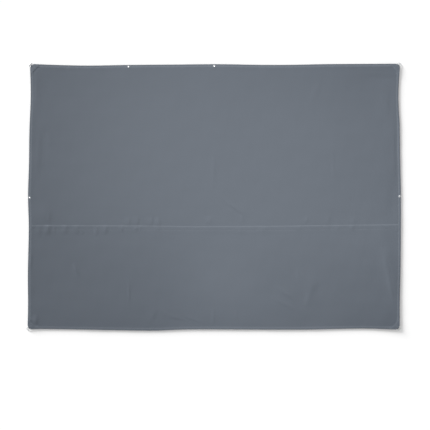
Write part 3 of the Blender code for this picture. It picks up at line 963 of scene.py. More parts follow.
@dataclass(frozen=True)
class SlateSailcloth:
    """Plain-woven polyester sailcloth, dyed slate and coated: flat colour, a dull satin glow."""

    colour: str = "#495059"
    # the ramp's ends: painted shade, and painted highlight
    shade_tone: str = "#373e48"
    highlight_tone: str = "#5b626b"
    warp_mm: float = 1.1  # yarns are 0.55 mm apart; two are drawn as one, or they blur away
    weft_mm: float = 1.2
    yarn_rise_mm: float = 0.12
    yarn_bump: float = 0.6
    tone: float = 0.93  # of the colour, before the weave and the patterns add their shares
    # the weave is painted into the colour too, lighter where its yarns rise: a painted highlight
    weave_highlight_share: float = 0.030
    patterns: tuple[tuple[tuple[float, float, float], float, float], ...] = (
        # stretch along X and Y (repeats each metre), detail, share of the colour
        ((30.0, 800.0, 1.0), 1.0, 0.050),  # slubs in the warp, which runs along X
        ((800.0, 30.0, 1.0), 1.0, 0.040),  # slubs in the weft
        ((0.3, 24.0, 1.0), 2.0, 0.030),  # bars of uneven dye, about 40 mm apart
        ((2.4, 2.4, 1.0), 3.0, 0.030),  # broad patches
    )
    roughness: float = 0.60
    ior: float = 1.50

    def material(self) -> bpy.types.Material:
        """Builds the finish: weave, slubs along both yarns, faint bars, painted shade and highlights.

        Returns:
            The material.
        """
        made, tree, shader = blank("slate polyester sailcloth")
        coords, axes = placed(tree)
        warp = threads(tree, axes["Y"], self.warp_mm / 1000)
        weft = threads(tree, axes["X"], self.weft_mm / 1000)
        weave = add(tree, "ShaderNodeMath", {"operation": "MULTIPLY"}, {0: warp, 1: weft}).outputs[0]
        value: bpy.types.NodeSocket | float = self.tone
        for stretch, detail, share in self.patterns:
            mapped = add(tree, "ShaderNodeMapping", {}, {"Vector": coords, "Scale": stretch})
            noise = add(tree, "ShaderNodeTexNoise", {"noise_dimensions": "2D"},
                        {"Vector": mapped.outputs[0], "Scale": 1.0, "Detail": detail})
            value = add(tree, "ShaderNodeMath", {"operation": "MULTIPLY_ADD"},
                        {0: noise.outputs["Fac"], 1: share, 2: value}).outputs[0]
        # painted highlight where the yarns rise
        value = add(tree, "ShaderNodeMath", {"operation": "MULTIPLY_ADD"},
                    {0: weave, 1: self.weave_highlight_share, 2: value}).outputs[0]
        wear = add(tree, "ShaderNodeAttribute", {"attribute_name": "wear"}, {}).outputs["Fac"]
        # The painted shade and highlights run from -1 to 1, and the ramp from 0 to 1.
        place = add(tree, "ShaderNodeMath", {"operation": "MULTIPLY_ADD"}, {0: wear, 1: 0.5, 2: 0.5})
        tone = add(tree, "ShaderNodeValToRGB", {}, {0: place.outputs[0]})
        stops = tone.color_ramp.elements
        stops.new(0.5)
        for stop, code in zip(stops, (self.shade_tone, self.colour, self.highlight_tone)):
            stop.color = linear(code)
        shaded(tree, shader, tone.outputs[0], value)
        bump = add(tree, "ShaderNodeBump", {}, {"Height": weave, "Strength": self.yarn_bump,
                                                "Distance": self.yarn_rise_mm / 1000})
        tree.links.new(bump.outputs[0], shader.inputs["Normal"])
        shader.inputs["Roughness"].default_value = self.roughness
        shader.inputs["IOR"].default_value = self.ior
        return made


@dataclass(frozen=True)
class PolyesterWebbing:
    """Ribbed polyester webbing, dyed dark slate: matt, with ribs across the strap."""

    colour: str = "#454c54"
    rib_mm: float = 1.6
    yarn_mm: float = 0.8
    yarn_depth: float = 0.4  # of a rib's
    shade: float = 0.12  # painted highlight: how much lighter the crests are
    rise_mm: float = 0.18
    bump: float = 0.8
    roughness: float = 0.75

    def material(self) -> bpy.types.Material:
        """Builds the finish: ribs across the strap and yarns along it, their crests painted lighter.

        Returns:
            The material.
        """
        made, tree, shader = blank("dark slate polyester webbing")
        _, axes = placed(tree)
        ribs = threads(tree, axes["X"], self.rib_mm / 1000)
        yarns = threads(tree, axes["Y"], self.yarn_mm / 1000)
        both = add(tree, "ShaderNodeMath", {"operation": "MULTIPLY_ADD"},
                   {0: yarns, 1: self.yarn_depth, 2: ribs}).outputs[0]
        value = add(tree, "ShaderNodeMath", {"operation": "MULTIPLY_ADD"},
                    {0: both, 1: self.shade, 2: 1.0}).outputs[0]
        shaded(tree, shader, linear(self.colour)[:3], value)
        bump = add(tree, "ShaderNodeBump", {},
                   {"Height": both, "Distance": self.rise_mm / 1000, "Strength": self.bump})
        tree.links.new(bump.outputs[0], shader.inputs["Normal"])
        shader.inputs["Roughness"].default_value = self.roughness
        return made


@dataclass(frozen=True)
class SewingThread:
    """Twisted polyester thread, a shade lighter than the cloth: a small soft glint."""

    colour: str = "#6f777f"
    twist_mm: float = 0.7
    shade: float = 0.08  # painted highlight: how much lighter the plies' crests are
    roughness: float = 0.55

    def material(self) -> bpy.types.Material:
        """Builds the finish: plies of the twist as fine slanted bands, their crests painted lighter.

        Returns:
            The material.
        """
        made, tree, shader = blank("slate polyester thread")
        _, axes = placed(tree)
        slant = add(tree, "ShaderNodeMath", {"operation": "ADD"}, {0: axes["X"], 1: axes["Y"]})
        plies = threads(tree, slant.outputs[0], self.twist_mm / 1000)
        value = add(tree, "ShaderNodeMath", {"operation": "MULTIPLY_ADD"},
                    {0: plies, 1: self.shade, 2: 1.0}).outputs[0]
        shaded(tree, shader, linear(self.colour)[:3], value)
        shader.inputs["Roughness"].default_value = self.roughness
        return made


@dataclass(frozen=True)
class StainlessSteel:
    """Tumble-polished stainless steel: bright, with a soft grain that breaks its mirror."""

    colour: str = "#e6e8e9"
    roughness: float = 0.24
    roughness_spread: float = 0.12
    tone_spread: float = 0.08
    grain_mm: float = 0.6

    def material(self) -> bpy.types.Material:
        """Builds the finish: a fine grain in the roughness and a faint one in the colour.

        Returns:
            The material.
        """
        made, tree, shader = blank("polished stainless steel")
        coords, _ = placed(tree)
        grain = add(tree, "ShaderNodeTexNoise", {},
                    {"Vector": coords, "Scale": 1000 / self.grain_mm, "Detail": 2.0}).outputs["Fac"]
        rough, value = (
            add(tree, "ShaderNodeMath", {"operation": "MULTIPLY_ADD"},
                {0: grain, 1: spread, 2: middle - spread / 2}).outputs[0]
            for middle, spread in ((self.roughness, self.roughness_spread), (1.0, self.tone_spread))
        )
        shaded(tree, shader, linear(self.colour)[:3], value)
        tree.links.new(rough, shader.inputs["Roughness"])
        shader.inputs["Metallic"].default_value = 1.0
        return made


@dataclass(frozen=True)
class StudioPaper:
    """Matt white studio paper: even, with no gloss."""

    colour: str = "#f6f6f6"
    roughness: float = 0.95
    specular: float = 0.0

    def material(self) -> bpy.types.Material:
        """Builds the finish.

        Returns:
            The material.
        """
        made, _, shader = blank("white studio paper")
        shader.inputs["Base Color"].default_value = linear(self.colour)
        shader.inputs["Roughness"].default_value = self.roughness
        shader.inputs["Specular IOR Level"].default_value = self.specular
        return made


@dataclass(frozen=True)
class Finishes:
    """One material for each finish."""

    cloth: bpy.types.Material
    webbing: bpy.types.Material
    thread: bpy.types.Material
    steel: bpy.types.Material

    @staticmethod
    def made() -> Finishes:
        """All the finishes of the sail."""
        return Finishes(SlateSailcloth().material(), PolyesterWebbing().material(),
                        SewingThread().material(), StainlessSteel().material())


def dress(piece: bpy.types.Object, material: bpy.types.Material, slot: str,
          *nodes: str) -> bpy.types.Object:
    """Gives a piece its finish and its place in the frame.

    Args:
        piece: the piece.
        material: its finish.
        slot: the record's material slot; not used.
        nodes: the nodes that it stands for.

    Returns:
        The piece.
    """
    piece.data.materials.append(material)
    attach(piece, BODY)
    if nodes:
        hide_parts(*nodes)
    LOG.info("%s: %d faces", piece.name, len(piece.data.polygons))
    return piece


# --- Cloth pieces -------------------------------------------------------------------

FINE, MEDIUM, COARSE = 0.008, 0.012, 0.018  # cells of the panels, away from seams and hems
NOSE_ROWS = [0.0, 0.0001, 0.0004, 0.0009, 0.0016]  # in from a fold, which they round off
HEM_ROWS = [*NOSE_ROWS, 0.0032, 0.0058, 0.0090, 0.0125, 0.0160, 0.0190, 0.0212, 0.0228, 0.0242,
            0.0252, 0.0263]
CUT_ROWS = (0.0, 0.0004, 0.0016)  # in from a clipped corner
LAP_ROWS = (0.0014, 0.0008, 0.0003, 0.0)  # down from the lap's folded edge
BRIM_ROWS = (0.0008, 0.0004, 0.0)  # in from a panel's own edge, which runs in under a hem
TUCK = 0.0005  # how far it runs in under it


@dataclass
class Panels:
    """The two panels of cloth, joined by a lapped seam."""

    maker: ClothMaker
    left_part: float = -0.35  # the more puckered part has closer columns
    band: float = 0.20  # along the seam, closer rows
    beside: float = 0.08  # beside the hems, closer rows and columns
    beside_low: float = 0.11  # and beside the bottom hem
    side_cell: float = 0.005
    hem_cell: float = 0.006
    band_cell: float = 0.0065
    low_band_cell: float = 0.0075
    lap_cell: float = 0.0032
    tucked_by: float = 0.0002

    def columns(self) -> list[float]:
        """Columns of both panels, out to where the side hems begin.

        Returns:
            Their places along u.
        """
        inner = CUT.half_width - CUT.hem_width + TUCK
        last = inner - self.beside
        right = [inner - row for row in BRIM_ROWS]
        left = [-u for u in reversed(right)]
        return joined(left, evenly(left[-1], -last, self.side_cell),
                      evenly(-last, self.left_part, FINE), evenly(self.left_part, last, MEDIUM),
                      evenly(last, right[0], self.side_cell), right)

    def tucked(self, u: Floats, v: Floats, top: Floats) -> Floats:
        """Lowers a face's outermost rows, which run in under the hems.

        Args:
            u, v: points of the pattern.
            top: the height of the face at each.

        Returns:
            The heights, now lowered.
        """
        inner = np.minimum.reduce([side.place(u, v)[1] for side in (Side.TOP, Side.LEFT, Side.RIGHT)])
        width = CUT.hem_width
        return top - self.tucked_by * (1 - ramp(inner, width - TUCK, width + TUCK))

    def upper(self) -> bpy.types.Object:
        """The wide panel above the seam, one layer of cloth.

        Returns:
            The piece.
        """
        low, high = CUT.seam_v - CUT.lap, CUT.half_depth - CUT.hem_width + TUCK
        brim = [high - row for row in BRIM_ROWS]
        rows = joined(evenly(low, CUT.seam_v + self.band, self.band_cell),
                      evenly(CUT.seam_v + self.band, high - self.beside, COARSE),
                      evenly(high - self.beside, brim[0], self.hem_cell), brim)
        bm = flat_grid(self.columns(), rows)
        u, v = self.maker.places(bm)
        top = self.tucked(u, v, self.maker.face.over(u, v))
        thin = top - self.maker.face.pressed(v)
        # its colour carries the broad painted light
        return self.maker.closed("cloth_upper", bm, thin, top - CUT.cloth, self.maker.wear.broad_light(u, v))

    def lower_sheet(self) -> bmesh.types.BMesh:
        """The narrow panel as a flat sheet, with its hem and its two clipped corners.

        Returns:
            The sheet.
        """
        deep, seam = CUT.half_depth, CUT.seam_v
        hem = [-deep + row for row in HEM_ROWS]
        folded = [seam - row for row in LAP_ROWS]
        lap = seam - CUT.lap - CUT.lap_ramp
        rows = joined(hem, evenly(hem[-1], -deep + self.beside_low, self.hem_cell),
                      evenly(-deep + self.beside_low, seam - self.band, COARSE),
                      evenly(seam - self.band, lap, self.low_band_cell),
                      evenly(lap, folded[0], self.lap_cell), folded)
        inner = self.columns()
        wing = [-CUT.half_width + row for row in HEM_ROWS[:-1]]
        bm = flat_grid([*wing, *inner[2:-2], *(-u for u in reversed(wing))], rows)
        beside = [face for face in bm.faces if abs(face.calc_center_median().x) > inner[-1]
                  and face.calc_center_median().y > hem[-1]]
        bmesh.ops.delete(bm, geom=beside, context="FACES")
        for corner in (Corner.BOTTOM_LEFT, Corner.BOTTOM_RIGHT):
            crop_corner(bm, corner, CUT_ROWS)
        return bm

    def lower(self) -> bpy.types.Object:
        """The narrow panel, lapped onto the upper one, with its own folded hem below.

        Returns:
            The piece.
        """
        face, wear, seam = self.maker.face, self.maker.wear, CUT.seam_v
        bm = self.lower_sheet()
        u, v = self.maker.places(bm)
        in_hem = v < -CUT.half_depth + HEM_ROWS[-1] + TOUCHING
        top = face.over(u, v, face.lap(v))
        top = np.where(in_hem, top, self.tucked(u, v, top))
        low = np.minimum(np.where(in_hem, 0.0, top - CUT.cloth), top - CUT.cloth)
        nose = rounded_nose(np.where(in_hem, from_edge(u, v), seam - v), face.nose)
        middle, half = (top + low) / 2, (top - low) / 2 * nose
        under = face.over(u, v) - face.pressed(v) + CUT.layer_gap
        low = np.where(v > seam - CUT.lap, np.maximum(middle - half, under), middle - half)
        high = np.maximum(middle + half, low + CUT.layer_gap)
        # painted highlights at hem and seam fold, painted shade, broad painted light, darker bottom
        highlight_tone = np.maximum(wear.hem(u, v) * in_hem, wear.seam_highlight.at(v))
        return self.maker.closed("cloth_lower", bm, high, low, highlight_tone + wear.broad_light(u, v) - wear.bottom_dark_and_seam_shade(u, v))


@dataclass
class Hem:
    """A folded strip along the top, left or right side, which holds eyelets."""

    maker: ClothMaker
    side: Side
    cell: float = 0.007
    seam_room: float = 0.02  # above and below the seam, closer cells
    seam_cell: float = 0.002
    seam_step: tuple[float, float] = (0.002, 0.004)  # below and above the lap's folded edge
    hole_room: float = 0.0087  # half the side of the square that is made anew round an eyelet
    hole_sides: int = 32

    @property
    def label(self) -> str:
        """The name of the strip's node."""
        return f"hem_{self.side.name.lower()}"

    def sheet(self) -> bmesh.types.BMesh:
        """The strip as a flat sheet.

        Returns:
            The sheet.
        """
        wide, deep = CUT.half_width, CUT.half_depth
        if self.side is Side.TOP:
            wing = [-wide + row for row in NOSE_ROWS]
            along = joined(wing, evenly(wing[-1], -wing[-1], self.cell), [-u for u in reversed(wing)])
            return flat_grid(along, [deep - row for row in reversed(HEM_ROWS)])
        end = deep - CUT.hem_width - CUT.gap
        low, high = CUT.seam_v - self.seam_room, CUT.seam_v + self.seam_room
        along = joined(evenly(-end, low, self.cell), evenly(low, high, self.seam_cell),
                       evenly(high, end, self.cell))
        if self.side is Side.LEFT:
            return flat_grid([-wide + row for row in HEM_ROWS], along)
        return flat_grid([wide - row for row in reversed(HEM_ROWS)], along)

    def punch(self, bm: bmesh.types.BMesh, hole: Hole) -> None:
        """Opens the strip for an eyelet, if it lies on it.

        Args:
            bm: the flat strip.
            hole: the eyelet.
        """
        u0, v0 = hole.value
        middles = {face: face.calc_center_median() for face in bm.faces}
        near = [face for face, at in middles.items()
                if max(abs(at.x - u0), abs(at.y - v0)) < self.hole_room]
        if not near:
            return
        inside = {edge for face in near for edge in face.edges}
        rim = [edge for edge in inside if sum(face in near for face in edge.link_faces) == 1]
        bmesh.ops.delete(bm, geom=near, context="FACES")
        radius = CUT.barrel_r + CUT.eyelet_gap
        turns = [math.tau * k / self.hole_sides for k in range(self.hole_sides)]
        ring = [bm.verts.new((u0 + radius * math.cos(a), v0 + radius * math.sin(a), 0.0)) for a in turns]
        circle = [bm.edges.new(pair) for pair in zip(ring, ring[1:] + ring[:1])]
        filled = bmesh.ops.triangle_fill(bm, edges=rim + circle, use_beauty=True)
        for face in [item for item in filled["geom"] if isinstance(item, bmesh.types.BMFace)]:
            face.normal_update()
            if face.normal.z < 0:
                face.normal_flip()

    def build(self) -> bpy.types.Object:
        """The strip, lying along its side.

        Returns:
            The piece.
        """
        bm = self.sheet()
        for corner in Corner:
            crop_corner(bm, corner, CUT_ROWS if self.side is Side.TOP else CUT_ROWS[:1])
        for hole in Hole:
            self.punch(bm, hole)
        u, v = self.maker.places(bm)
        below, above = self.seam_step
        raised = self.maker.face.lap(v) * (1 - ramp(v, CUT.seam_v - below, CUT.seam_v + above))
        top = self.maker.face.over(u, v, raised)
        nose = rounded_nose(from_edge(u, v), self.maker.face.nose)
        middle, half = top / 2, top / 2 * nose
        # the strip's colour carries painted shade at its outer fold and a painted highlight along its
        # stitching
        return self.maker.closed(self.label + "_cloth", bm, middle + half, middle - half,
                                 self.maker.wear.hem(u, v))


@dataclass
class CornerPatch:
    """A three-cornered patch sewn on a corner's face, its long edge level with the cut."""

    maker: ClothMaker
    corner: Corner
    cell: float = 0.0028
    edge: float = 0.0009  # over this width its edges round off
    edge_rows: tuple[float, ...] = (0.0, 0.0003, 0.0009)
    thick: float = 0.0006
    lift: float = 0.0002  # over what it lies on
    level: float = 0.0006  # past a hem or the webbing it stays level so far,
    slope: float = 0.028  # and over this width it comes down
    swell: float = 0.0002  # between its rows of stitching, full at swell_reach from them
    swell_reach: float = 0.005
    uneven: float = 0.3  # how much the swell comes and goes,
    uneven_waves: tuple[float, float] = (310.0, 270.0)  # in radians a metre

    def base(self, u: Floats, v: Floats) -> Floats:
        """Height of the patch's underside: over cloth, over the hems and over webbing.

        Args:
            u, v: points of the pattern.

        Returns:
            One height over the cloth's underside for each point.
        """
        in_u, in_v = self.corner.inwards(u, v)
        over_hem = 1 - ramp(np.minimum(in_u, in_v) - CUT.hem_width, self.level, self.slope)
        off_side = np.abs(in_u - in_v) / math.sqrt(2) - CUT.webbing_width / 2
        off_end = (in_u + in_v - CUT.corner_leg) / math.sqrt(2) - CUT.webbing_leg
        over_leg = 1 - ramp(np.maximum(off_side, off_end), self.level, self.slope)
        step = CUT.hem - CUT.cloth
        return CUT.cloth + self.lift + np.maximum(step * over_hem, (step + CUT.webbing_sewn) * over_leg)

    def from_edges(self, u: Floats, v: Floats) -> Floats:
        """How far points lie inside the patch's own outline.

        Args:
            u, v: points of the pattern.

        Returns:
            One distance for each point.
        """
        in_u, in_v = self.corner.inwards(u, v)
        long_edge = (CUT.patch_leg - in_u - in_v) / math.sqrt(2)
        cut_edge = (in_u + in_v - CUT.corner_leg) / math.sqrt(2) - CUT.patch_inset
        return np.minimum.reduce([in_u - CUT.patch_inset, in_v - CUT.patch_inset, long_edge, cut_edge])

    def puff(self, u: Floats, v: Floats) -> Floats:
        """How the patch swells between its rows of stitching.

        Args:
            u, v: points of the pattern.

        Returns:
            One height for each point.
        """
        from_row = np.abs(self.from_edges(u, v) - CUT.patch_stitch)
        along_u, along_v = self.uneven_waves
        wave = np.sin(u * along_u) * np.sin(v * along_v)
        return self.swell * ramp(from_row, 0.0, self.swell_reach) * (1 + self.uneven * wave)

    def top(self, u: Floats, v: Floats) -> Floats:
        """Height of the patch's face over the cloth's underside."""
        return self.base(u, v) + self.thick + self.puff(u, v)

    def build(self) -> bpy.types.Object:
        """The patch.

        Returns:
            The piece.
        """
        sign_u, sign_v = self.corner.value
        first, *others = evenly(CUT.patch_inset, CUT.patch_leg, self.cell)
        rim = [first + row for row in self.edge_rows]
        bm = flat_grid(sorted(sign_u * (CUT.half_width - inset) for inset in (*rim, *others)),
                       sorted(sign_v * (CUT.half_depth - inset) for inset in (*rim, *others)))
        crop_corner(bm, self.corner, tuple(rim))
        for number, inset in enumerate(self.edge_rows):
            leg = CUT.half_width - CUT.patch_leg + inset * math.sqrt(2)
            crop(bm, (sign_u * leg, sign_v * CUT.half_depth), (-sign_u, -sign_v), number > 0)
        u, v = self.maker.places(bm)
        top, low = self.top(u, v), self.base(u, v)
        inside = self.from_edges(u, v)
        middle, half = (top + low) / 2, (top - low) / 2 * rounded_nose(inside, self.edge)
        return self.maker.closed(f"patch_{self.corner.label}", bm, middle + half, middle - half,
                                 self.maker.wear.patch(self.corner, u, v, inside))


# --- Stitching ----------------------------------------------------------------------


@dataclass
class Stitching:
    """Rows of lockstitch, each stitch a small twist of thread sunk at its ends."""

    maker: ClothMaker
    pitch: float = 0.0040
    length: float = 0.0034
    thread_r: float = 0.00035
    sides: int = 5
    body: float = 0.55  # share of its length that is full thick
    sunk: float = 0.6  # radii that its ends lie under what it is sewn on,
    rise: float = 0.3  # and that its middle lies over it
    clear: float = 0.0005  # from an eyelet's flange

    def template(self) -> tuple[Floats, list[tuple[int, ...]]]:
        """One stitch, along X.

        Returns:
            Its vertices and its faces.
        """
        half, r, n = self.length / 2, self.thread_r, self.sides
        verts = [(-half, 0.0, -self.sunk * r)]
        for x in (-half * self.body, half * self.body):
            for k in range(n):
                a = math.tau * k / n
                verts.append((x, r * math.cos(a), self.rise * r + r * math.sin(a)))
        verts.append((half, 0.0, -self.sunk * r))
        faces: list[tuple[int, ...]] = []
        for k in range(n):
            k2 = (k + 1) % n
            faces += [(0, 1 + k2, 1 + k), (1 + k, 1 + k2, 1 + n + k2, 1 + n + k),
                      (1 + n + k, 1 + n + k2, 2 * n + 1)]
        return np.array(verts), faces

    def along(self, line: Line) -> tuple[Floats, Floats]:
        """Ends of the stitches along a line of the pattern.

        Args:
            line: its corners.

        Returns:
            The middle of each stitch and its direction, in the pattern.
        """
        middles, ways = [], []
        for (u0, v0), (u1, v1) in zip(line, line[1:]):
            long = math.hypot(u1 - u0, v1 - v0)
            count = max(1, round(long / self.pitch))
            way = np.array([(u1 - u0) / long, (v1 - v0) / long])
            for k in range(count):
                middles.append(np.array([u0, v0]) + way * long * (k + 0.5) / count)
                ways.append(way)
        return np.array(middles), np.array(ways)

    def build(self, name: str, lines: list[Line], top: Heights) -> bpy.types.Object:
        """One piece with the stitches of several lines.

        Args:
            name: the piece's name.
            lines: the rows, each a line of the pattern.
            top: the height of what they lie on.

        Returns:
            The piece.
        """
        parts = [self.along(line) for line in lines]
        middle, way = (np.concatenate([part[k] for part in parts]) for k in (0, 1))
        clear = np.ones(len(middle), bool)
        for hole in Hole:
            clear &= np.hypot(*(middle - np.array(hole.value)).T) > CUT.flange_r + self.clear
        middle, way = middle[clear], way[clear]
        ends = [middle + way * self.length / 2 * sign for sign in (-1, 1)]
        start, stop = (self.maker.pattern.lies_at(*end.T, top(*end.T)) for end in ends)
        here = self.maker.pattern.lies_at(*middle.T, top(*middle.T))
        x = stop - start
        x /= np.linalg.norm(x, axis=1)[:, None]
        y = np.cross([0.0, 0.0, 1.0], x)
        y /= np.linalg.norm(y, axis=1)[:, None]
        z = np.cross(x, y)
        shape, faces = self.template()
        verts = (here[:, None] + shape[None, :, :1] * x[:, None] + shape[None, :, 1:2] * y[:, None]
                 + shape[None, :, 2:] * z[:, None]).reshape(-1, 3)
        step = len(shape)
        every = [tuple(index + step * k for index in face) for k in range(len(here)) for face in faces]
        return new_object(name, verts, every)


@dataclass
class Rows:
    """Where the rows of stitching run on the pattern."""

    run_out: float = 0.060  # the hems' rows run out under the corner patches, so far from the side
    short: float = 0.003  # the seam's rows and the box on the webbing stop so far short
    box_start: float = 0.009  # in from the cut edge

    def hem(self) -> list[Line]:
        """The topstitching that holds the four hems.

        Returns:
            Four rows.
        """
        wide, deep, end = CUT.half_width - CUT.hem_stitch, CUT.half_depth - CUT.hem_stitch, self.run_out
        return [
            [(-wide + end, deep), (wide - end, deep)], [(-wide + end, -deep), (wide - end, -deep)],
            [(-wide, -deep + end), (-wide, deep - end)], [(wide, -deep + end), (wide, deep - end)],
        ]

    def seam(self) -> list[Line]:
        """The two rows that hold the lapped seam."""
        end = CUT.half_width - CUT.hem_stitch - self.short
        return [[(-end, CUT.seam_v - row), (end, CUT.seam_v - row)] for row in CUT.seam_stitches]

    def patch(self, corner: Corner) -> list[Line]:
        """A row round a patch and a crossed box over its webbing.

        Args:
            corner: which corner.

        Returns:
            The row, the box and its second diagonal.
        """
        sign_u, sign_v = corner.value
        near, root2 = CUT.patch_inset + CUT.patch_stitch, math.sqrt(2)
        far = CUT.patch_leg - CUT.patch_stitch * root2
        cut = CUT.corner_leg + near * root2
        outline = [(near, cut - near), (near, far - near), (far - near, near), (cut - near, near),
                   (near, cut - near)]
        first, last = (CUT.corner_leg / root2 + way
                       for way in (self.box_start, CUT.webbing_leg - self.short))
        half = CUT.webbing_width / 2 - self.short
        box = [(first, -half), (last, -half), (last, half), (first, half), (first, -half), (last, half)]
        cross = [(first, half), (last, -half)]
        turned = [[((x - y) / root2, (x + y) / root2) for x, y in line] for line in (box, cross)]
        return [
            [(sign_u * (CUT.half_width - a), sign_v * (CUT.half_depth - b)) for a, b in line]
            for line in (outline, *turned)
        ]


# --- Hardware -----------------------------------------------------------------------


def swept(name: str, section: Line, frames: list[Matrix], closed: bool) -> bpy.types.Object:
    """A section carried along a line of frames.

    Args:
        name: the piece's name.
        section: a closed outline in each frame's Y and Z, counter-clockwise seen from +X.
        frames: where the outline stands.
        closed: the line ends where it began; otherwise both ends are capped.

    Returns:
        The piece.
    """
    n, count = len(section), len(frames)
    verts = np.array([turn @ Vector((0.0, y, z)) for turn in frames for y, z in section])
    faces: list[tuple[int, ...]] = []
    for i in range(count if closed else count - 1):
        a, b = i * n, (i + 1) % count * n
        for k in range(n):
            k2 = (k + 1) % n
            faces.append((a + k, a + k2, b + k2, b + k))
    if not closed:
        faces += [tuple(reversed(range(n))), tuple(range((count - 1) * n, count * n))]
    return new_object(name, verts, faces)


def arc(middle: tuple[float, float], radius: float, start: float, sweep: float, steps: int) -> Line:
    """Points of an arc, from a start angle round by a sweep, both in degrees."""
    turns = [math.radians(start + sweep * k / steps) for k in range(steps + 1)]
    return [(middle[0] + radius * math.cos(a), middle[1] + radius * math.sin(a)) for a in turns]


def along_line(line: Line, closed: bool, upright: bool) -> list[Matrix]:
    """Frames along a flat line, +X leading along it.

    Args:
        line: its points.
        closed: the last point leads to the first.
        upright: the line lies in X and Z, and not in X and Y.

    Returns:
        One frame for each point.
    """
    frames = []
    count = len(line)
    for k, (a, b) in enumerate(line):
        before = line[k - 1] if closed or k > 0 else line[k]
        after = line[(k + 1) % count] if closed or k < count - 1 else line[k]
        way = Vector((after[0] - before[0], after[1] - before[1])).normalized()
        if upright:
            x_axis, here = Vector((way.x, 0.0, way.y)), Vector((a, 0.0, b))
            y_axis = Vector((0.0, 1.0, 0.0))
        else:
            x_axis, here = Vector((way.x, way.y, 0.0)), Vector((a, b, 0.0))
            y_axis = Vector((-way.y, way.x, 0.0))
        turn = Matrix((x_axis, y_axis, x_axis.cross(y_axis))).transposed().to_4x4()
        frames.append(Matrix.Translation(here) @ turn)
    return frames


@dataclass
class CornerSet:
    """The webbing loop and the D-ring of one corner."""

    maker: ClothMaker
    corner: Corner
    wire_sides: int = 20
    bend_steps: int = 8
    bow_steps: int = 40
    bar_steps: int = 8
    leg_steps: int = 20
    loop_steps: int = 24
    lifting: float = 0.006  # from here, in from the cut edge, the legs part towards the bar
    thickening: float = 0.008  # and from here they are no longer pressed thin
    across: tuple[float, ...] = (0.0, 0.3, 0.6, 0.86, 0.94, 0.98, 1.0)  # shares of half its width
    selvedge: tuple[float, float] = (0.85, 14.0)  # how much thinner it is, and how suddenly

    def webbing_line(self) -> Line:
        """The loop's middle line from leg to leg round the bar.

        Returns:
            The line, in X and Z of the corner's frame.
        """
        turn_r = CUT.wire_r + CUT.gap + CUT.webbing / 2
        leg_z = CUT.hem / 2 + CUT.webbing_sewn / 2 + CUT.layer_gap
        legs = []
        for k in range(self.leg_steps):
            x = -CUT.webbing_leg + (CUT.webbing_leg + CUT.bar_out) * k / self.leg_steps
            rise = float(ramp(np.array(x), -self.lifting, CUT.bar_out))
            legs.append((x, leg_z + (turn_r - leg_z) * rise))
        under = [(x, -z) for x, z in reversed(legs)]
        return [*legs, *arc((CUT.bar_out, 0.0), turn_r, 90, -180, self.loop_steps), *under]

    def webbing(self) -> bpy.types.Object:
        """A strap with rounded selvedges, pressed thin where it is sewn down.

        Returns:
            The piece.
        """
        half, (thinner, power) = CUT.webbing_width / 2, self.selvedge
        across = [*(-t for t in reversed(self.across[1:])), *self.across]
        body = [(half * t, (1 - thinner * abs(t) ** power) / 2) for t in across]
        section = [*((y, -z) for y, z in body), *reversed(body)]
        line = self.webbing_line()
        turns = along_line(line, False, True)
        for turn, (x, _) in zip(turns, line):
            full = float(ramp(np.array(x), -self.thickening, 0.0))
            thick = CUT.webbing_sewn + (CUT.webbing - CUT.webbing_sewn) * full
            turn @= Matrix.Diagonal((1.0, 1.0, thick, 1.0))
        piece = swept(f"webbing_{self.corner.label}", section, turns, False)
        piece.matrix_world = self.maker.pattern.corner_frame(self.corner)
        return piece

    def ring_line(self) -> Line:
        """Middle line of the ring's wire, its bar along Y at the origin.

        Returns:
            The line, in X and Y of the ring.
        """
        half, bend = CUT.ring_inside / 2 + CUT.wire_r, CUT.ring_bend_r
        corner = arc((bend, bend - half), bend, 180, 90, self.bend_steps)
        bow = arc((CUT.ring_apex - half, 0.0), half, -90, 180, self.bow_steps)
        other = arc((bend, half - bend), bend, 90, 90, self.bend_steps)
        bar = [(0.0, (half - bend) * (1 - 2 * k / self.bar_steps)) for k in range(1, self.bar_steps)]
        return [*corner, *bow, *other, *bar]

    def ring(self) -> bpy.types.Object:
        """A welded D-ring whose bow droops from the webbing until it meets the floor.

        Returns:
            The piece.
        """
        section = arc((0.0, 0.0), CUT.wire_r, 0, 360 - 360 / self.wire_sides, self.wire_sides - 1)
        piece = swept(f"ring_{self.corner.label}", section, along_line(self.ring_line(), True, False), True)
        frame_here = self.maker.pattern.corner_frame(self.corner)
        frame_here = frame_here @ Matrix.Translation((CUT.bar_out, 0.0, 0.0))
        level = frame_here.to_3x3() @ Vector((1.0, 0.0, 0.0))
        drop = math.asin((frame_here.translation.z - CUT.wire_r - CUT.ring_rest) / CUT.ring_apex)
        piece.matrix_world = frame_here @ Matrix.Rotation(math.asin(level.z) + drop, 4, "Y")
        return piece


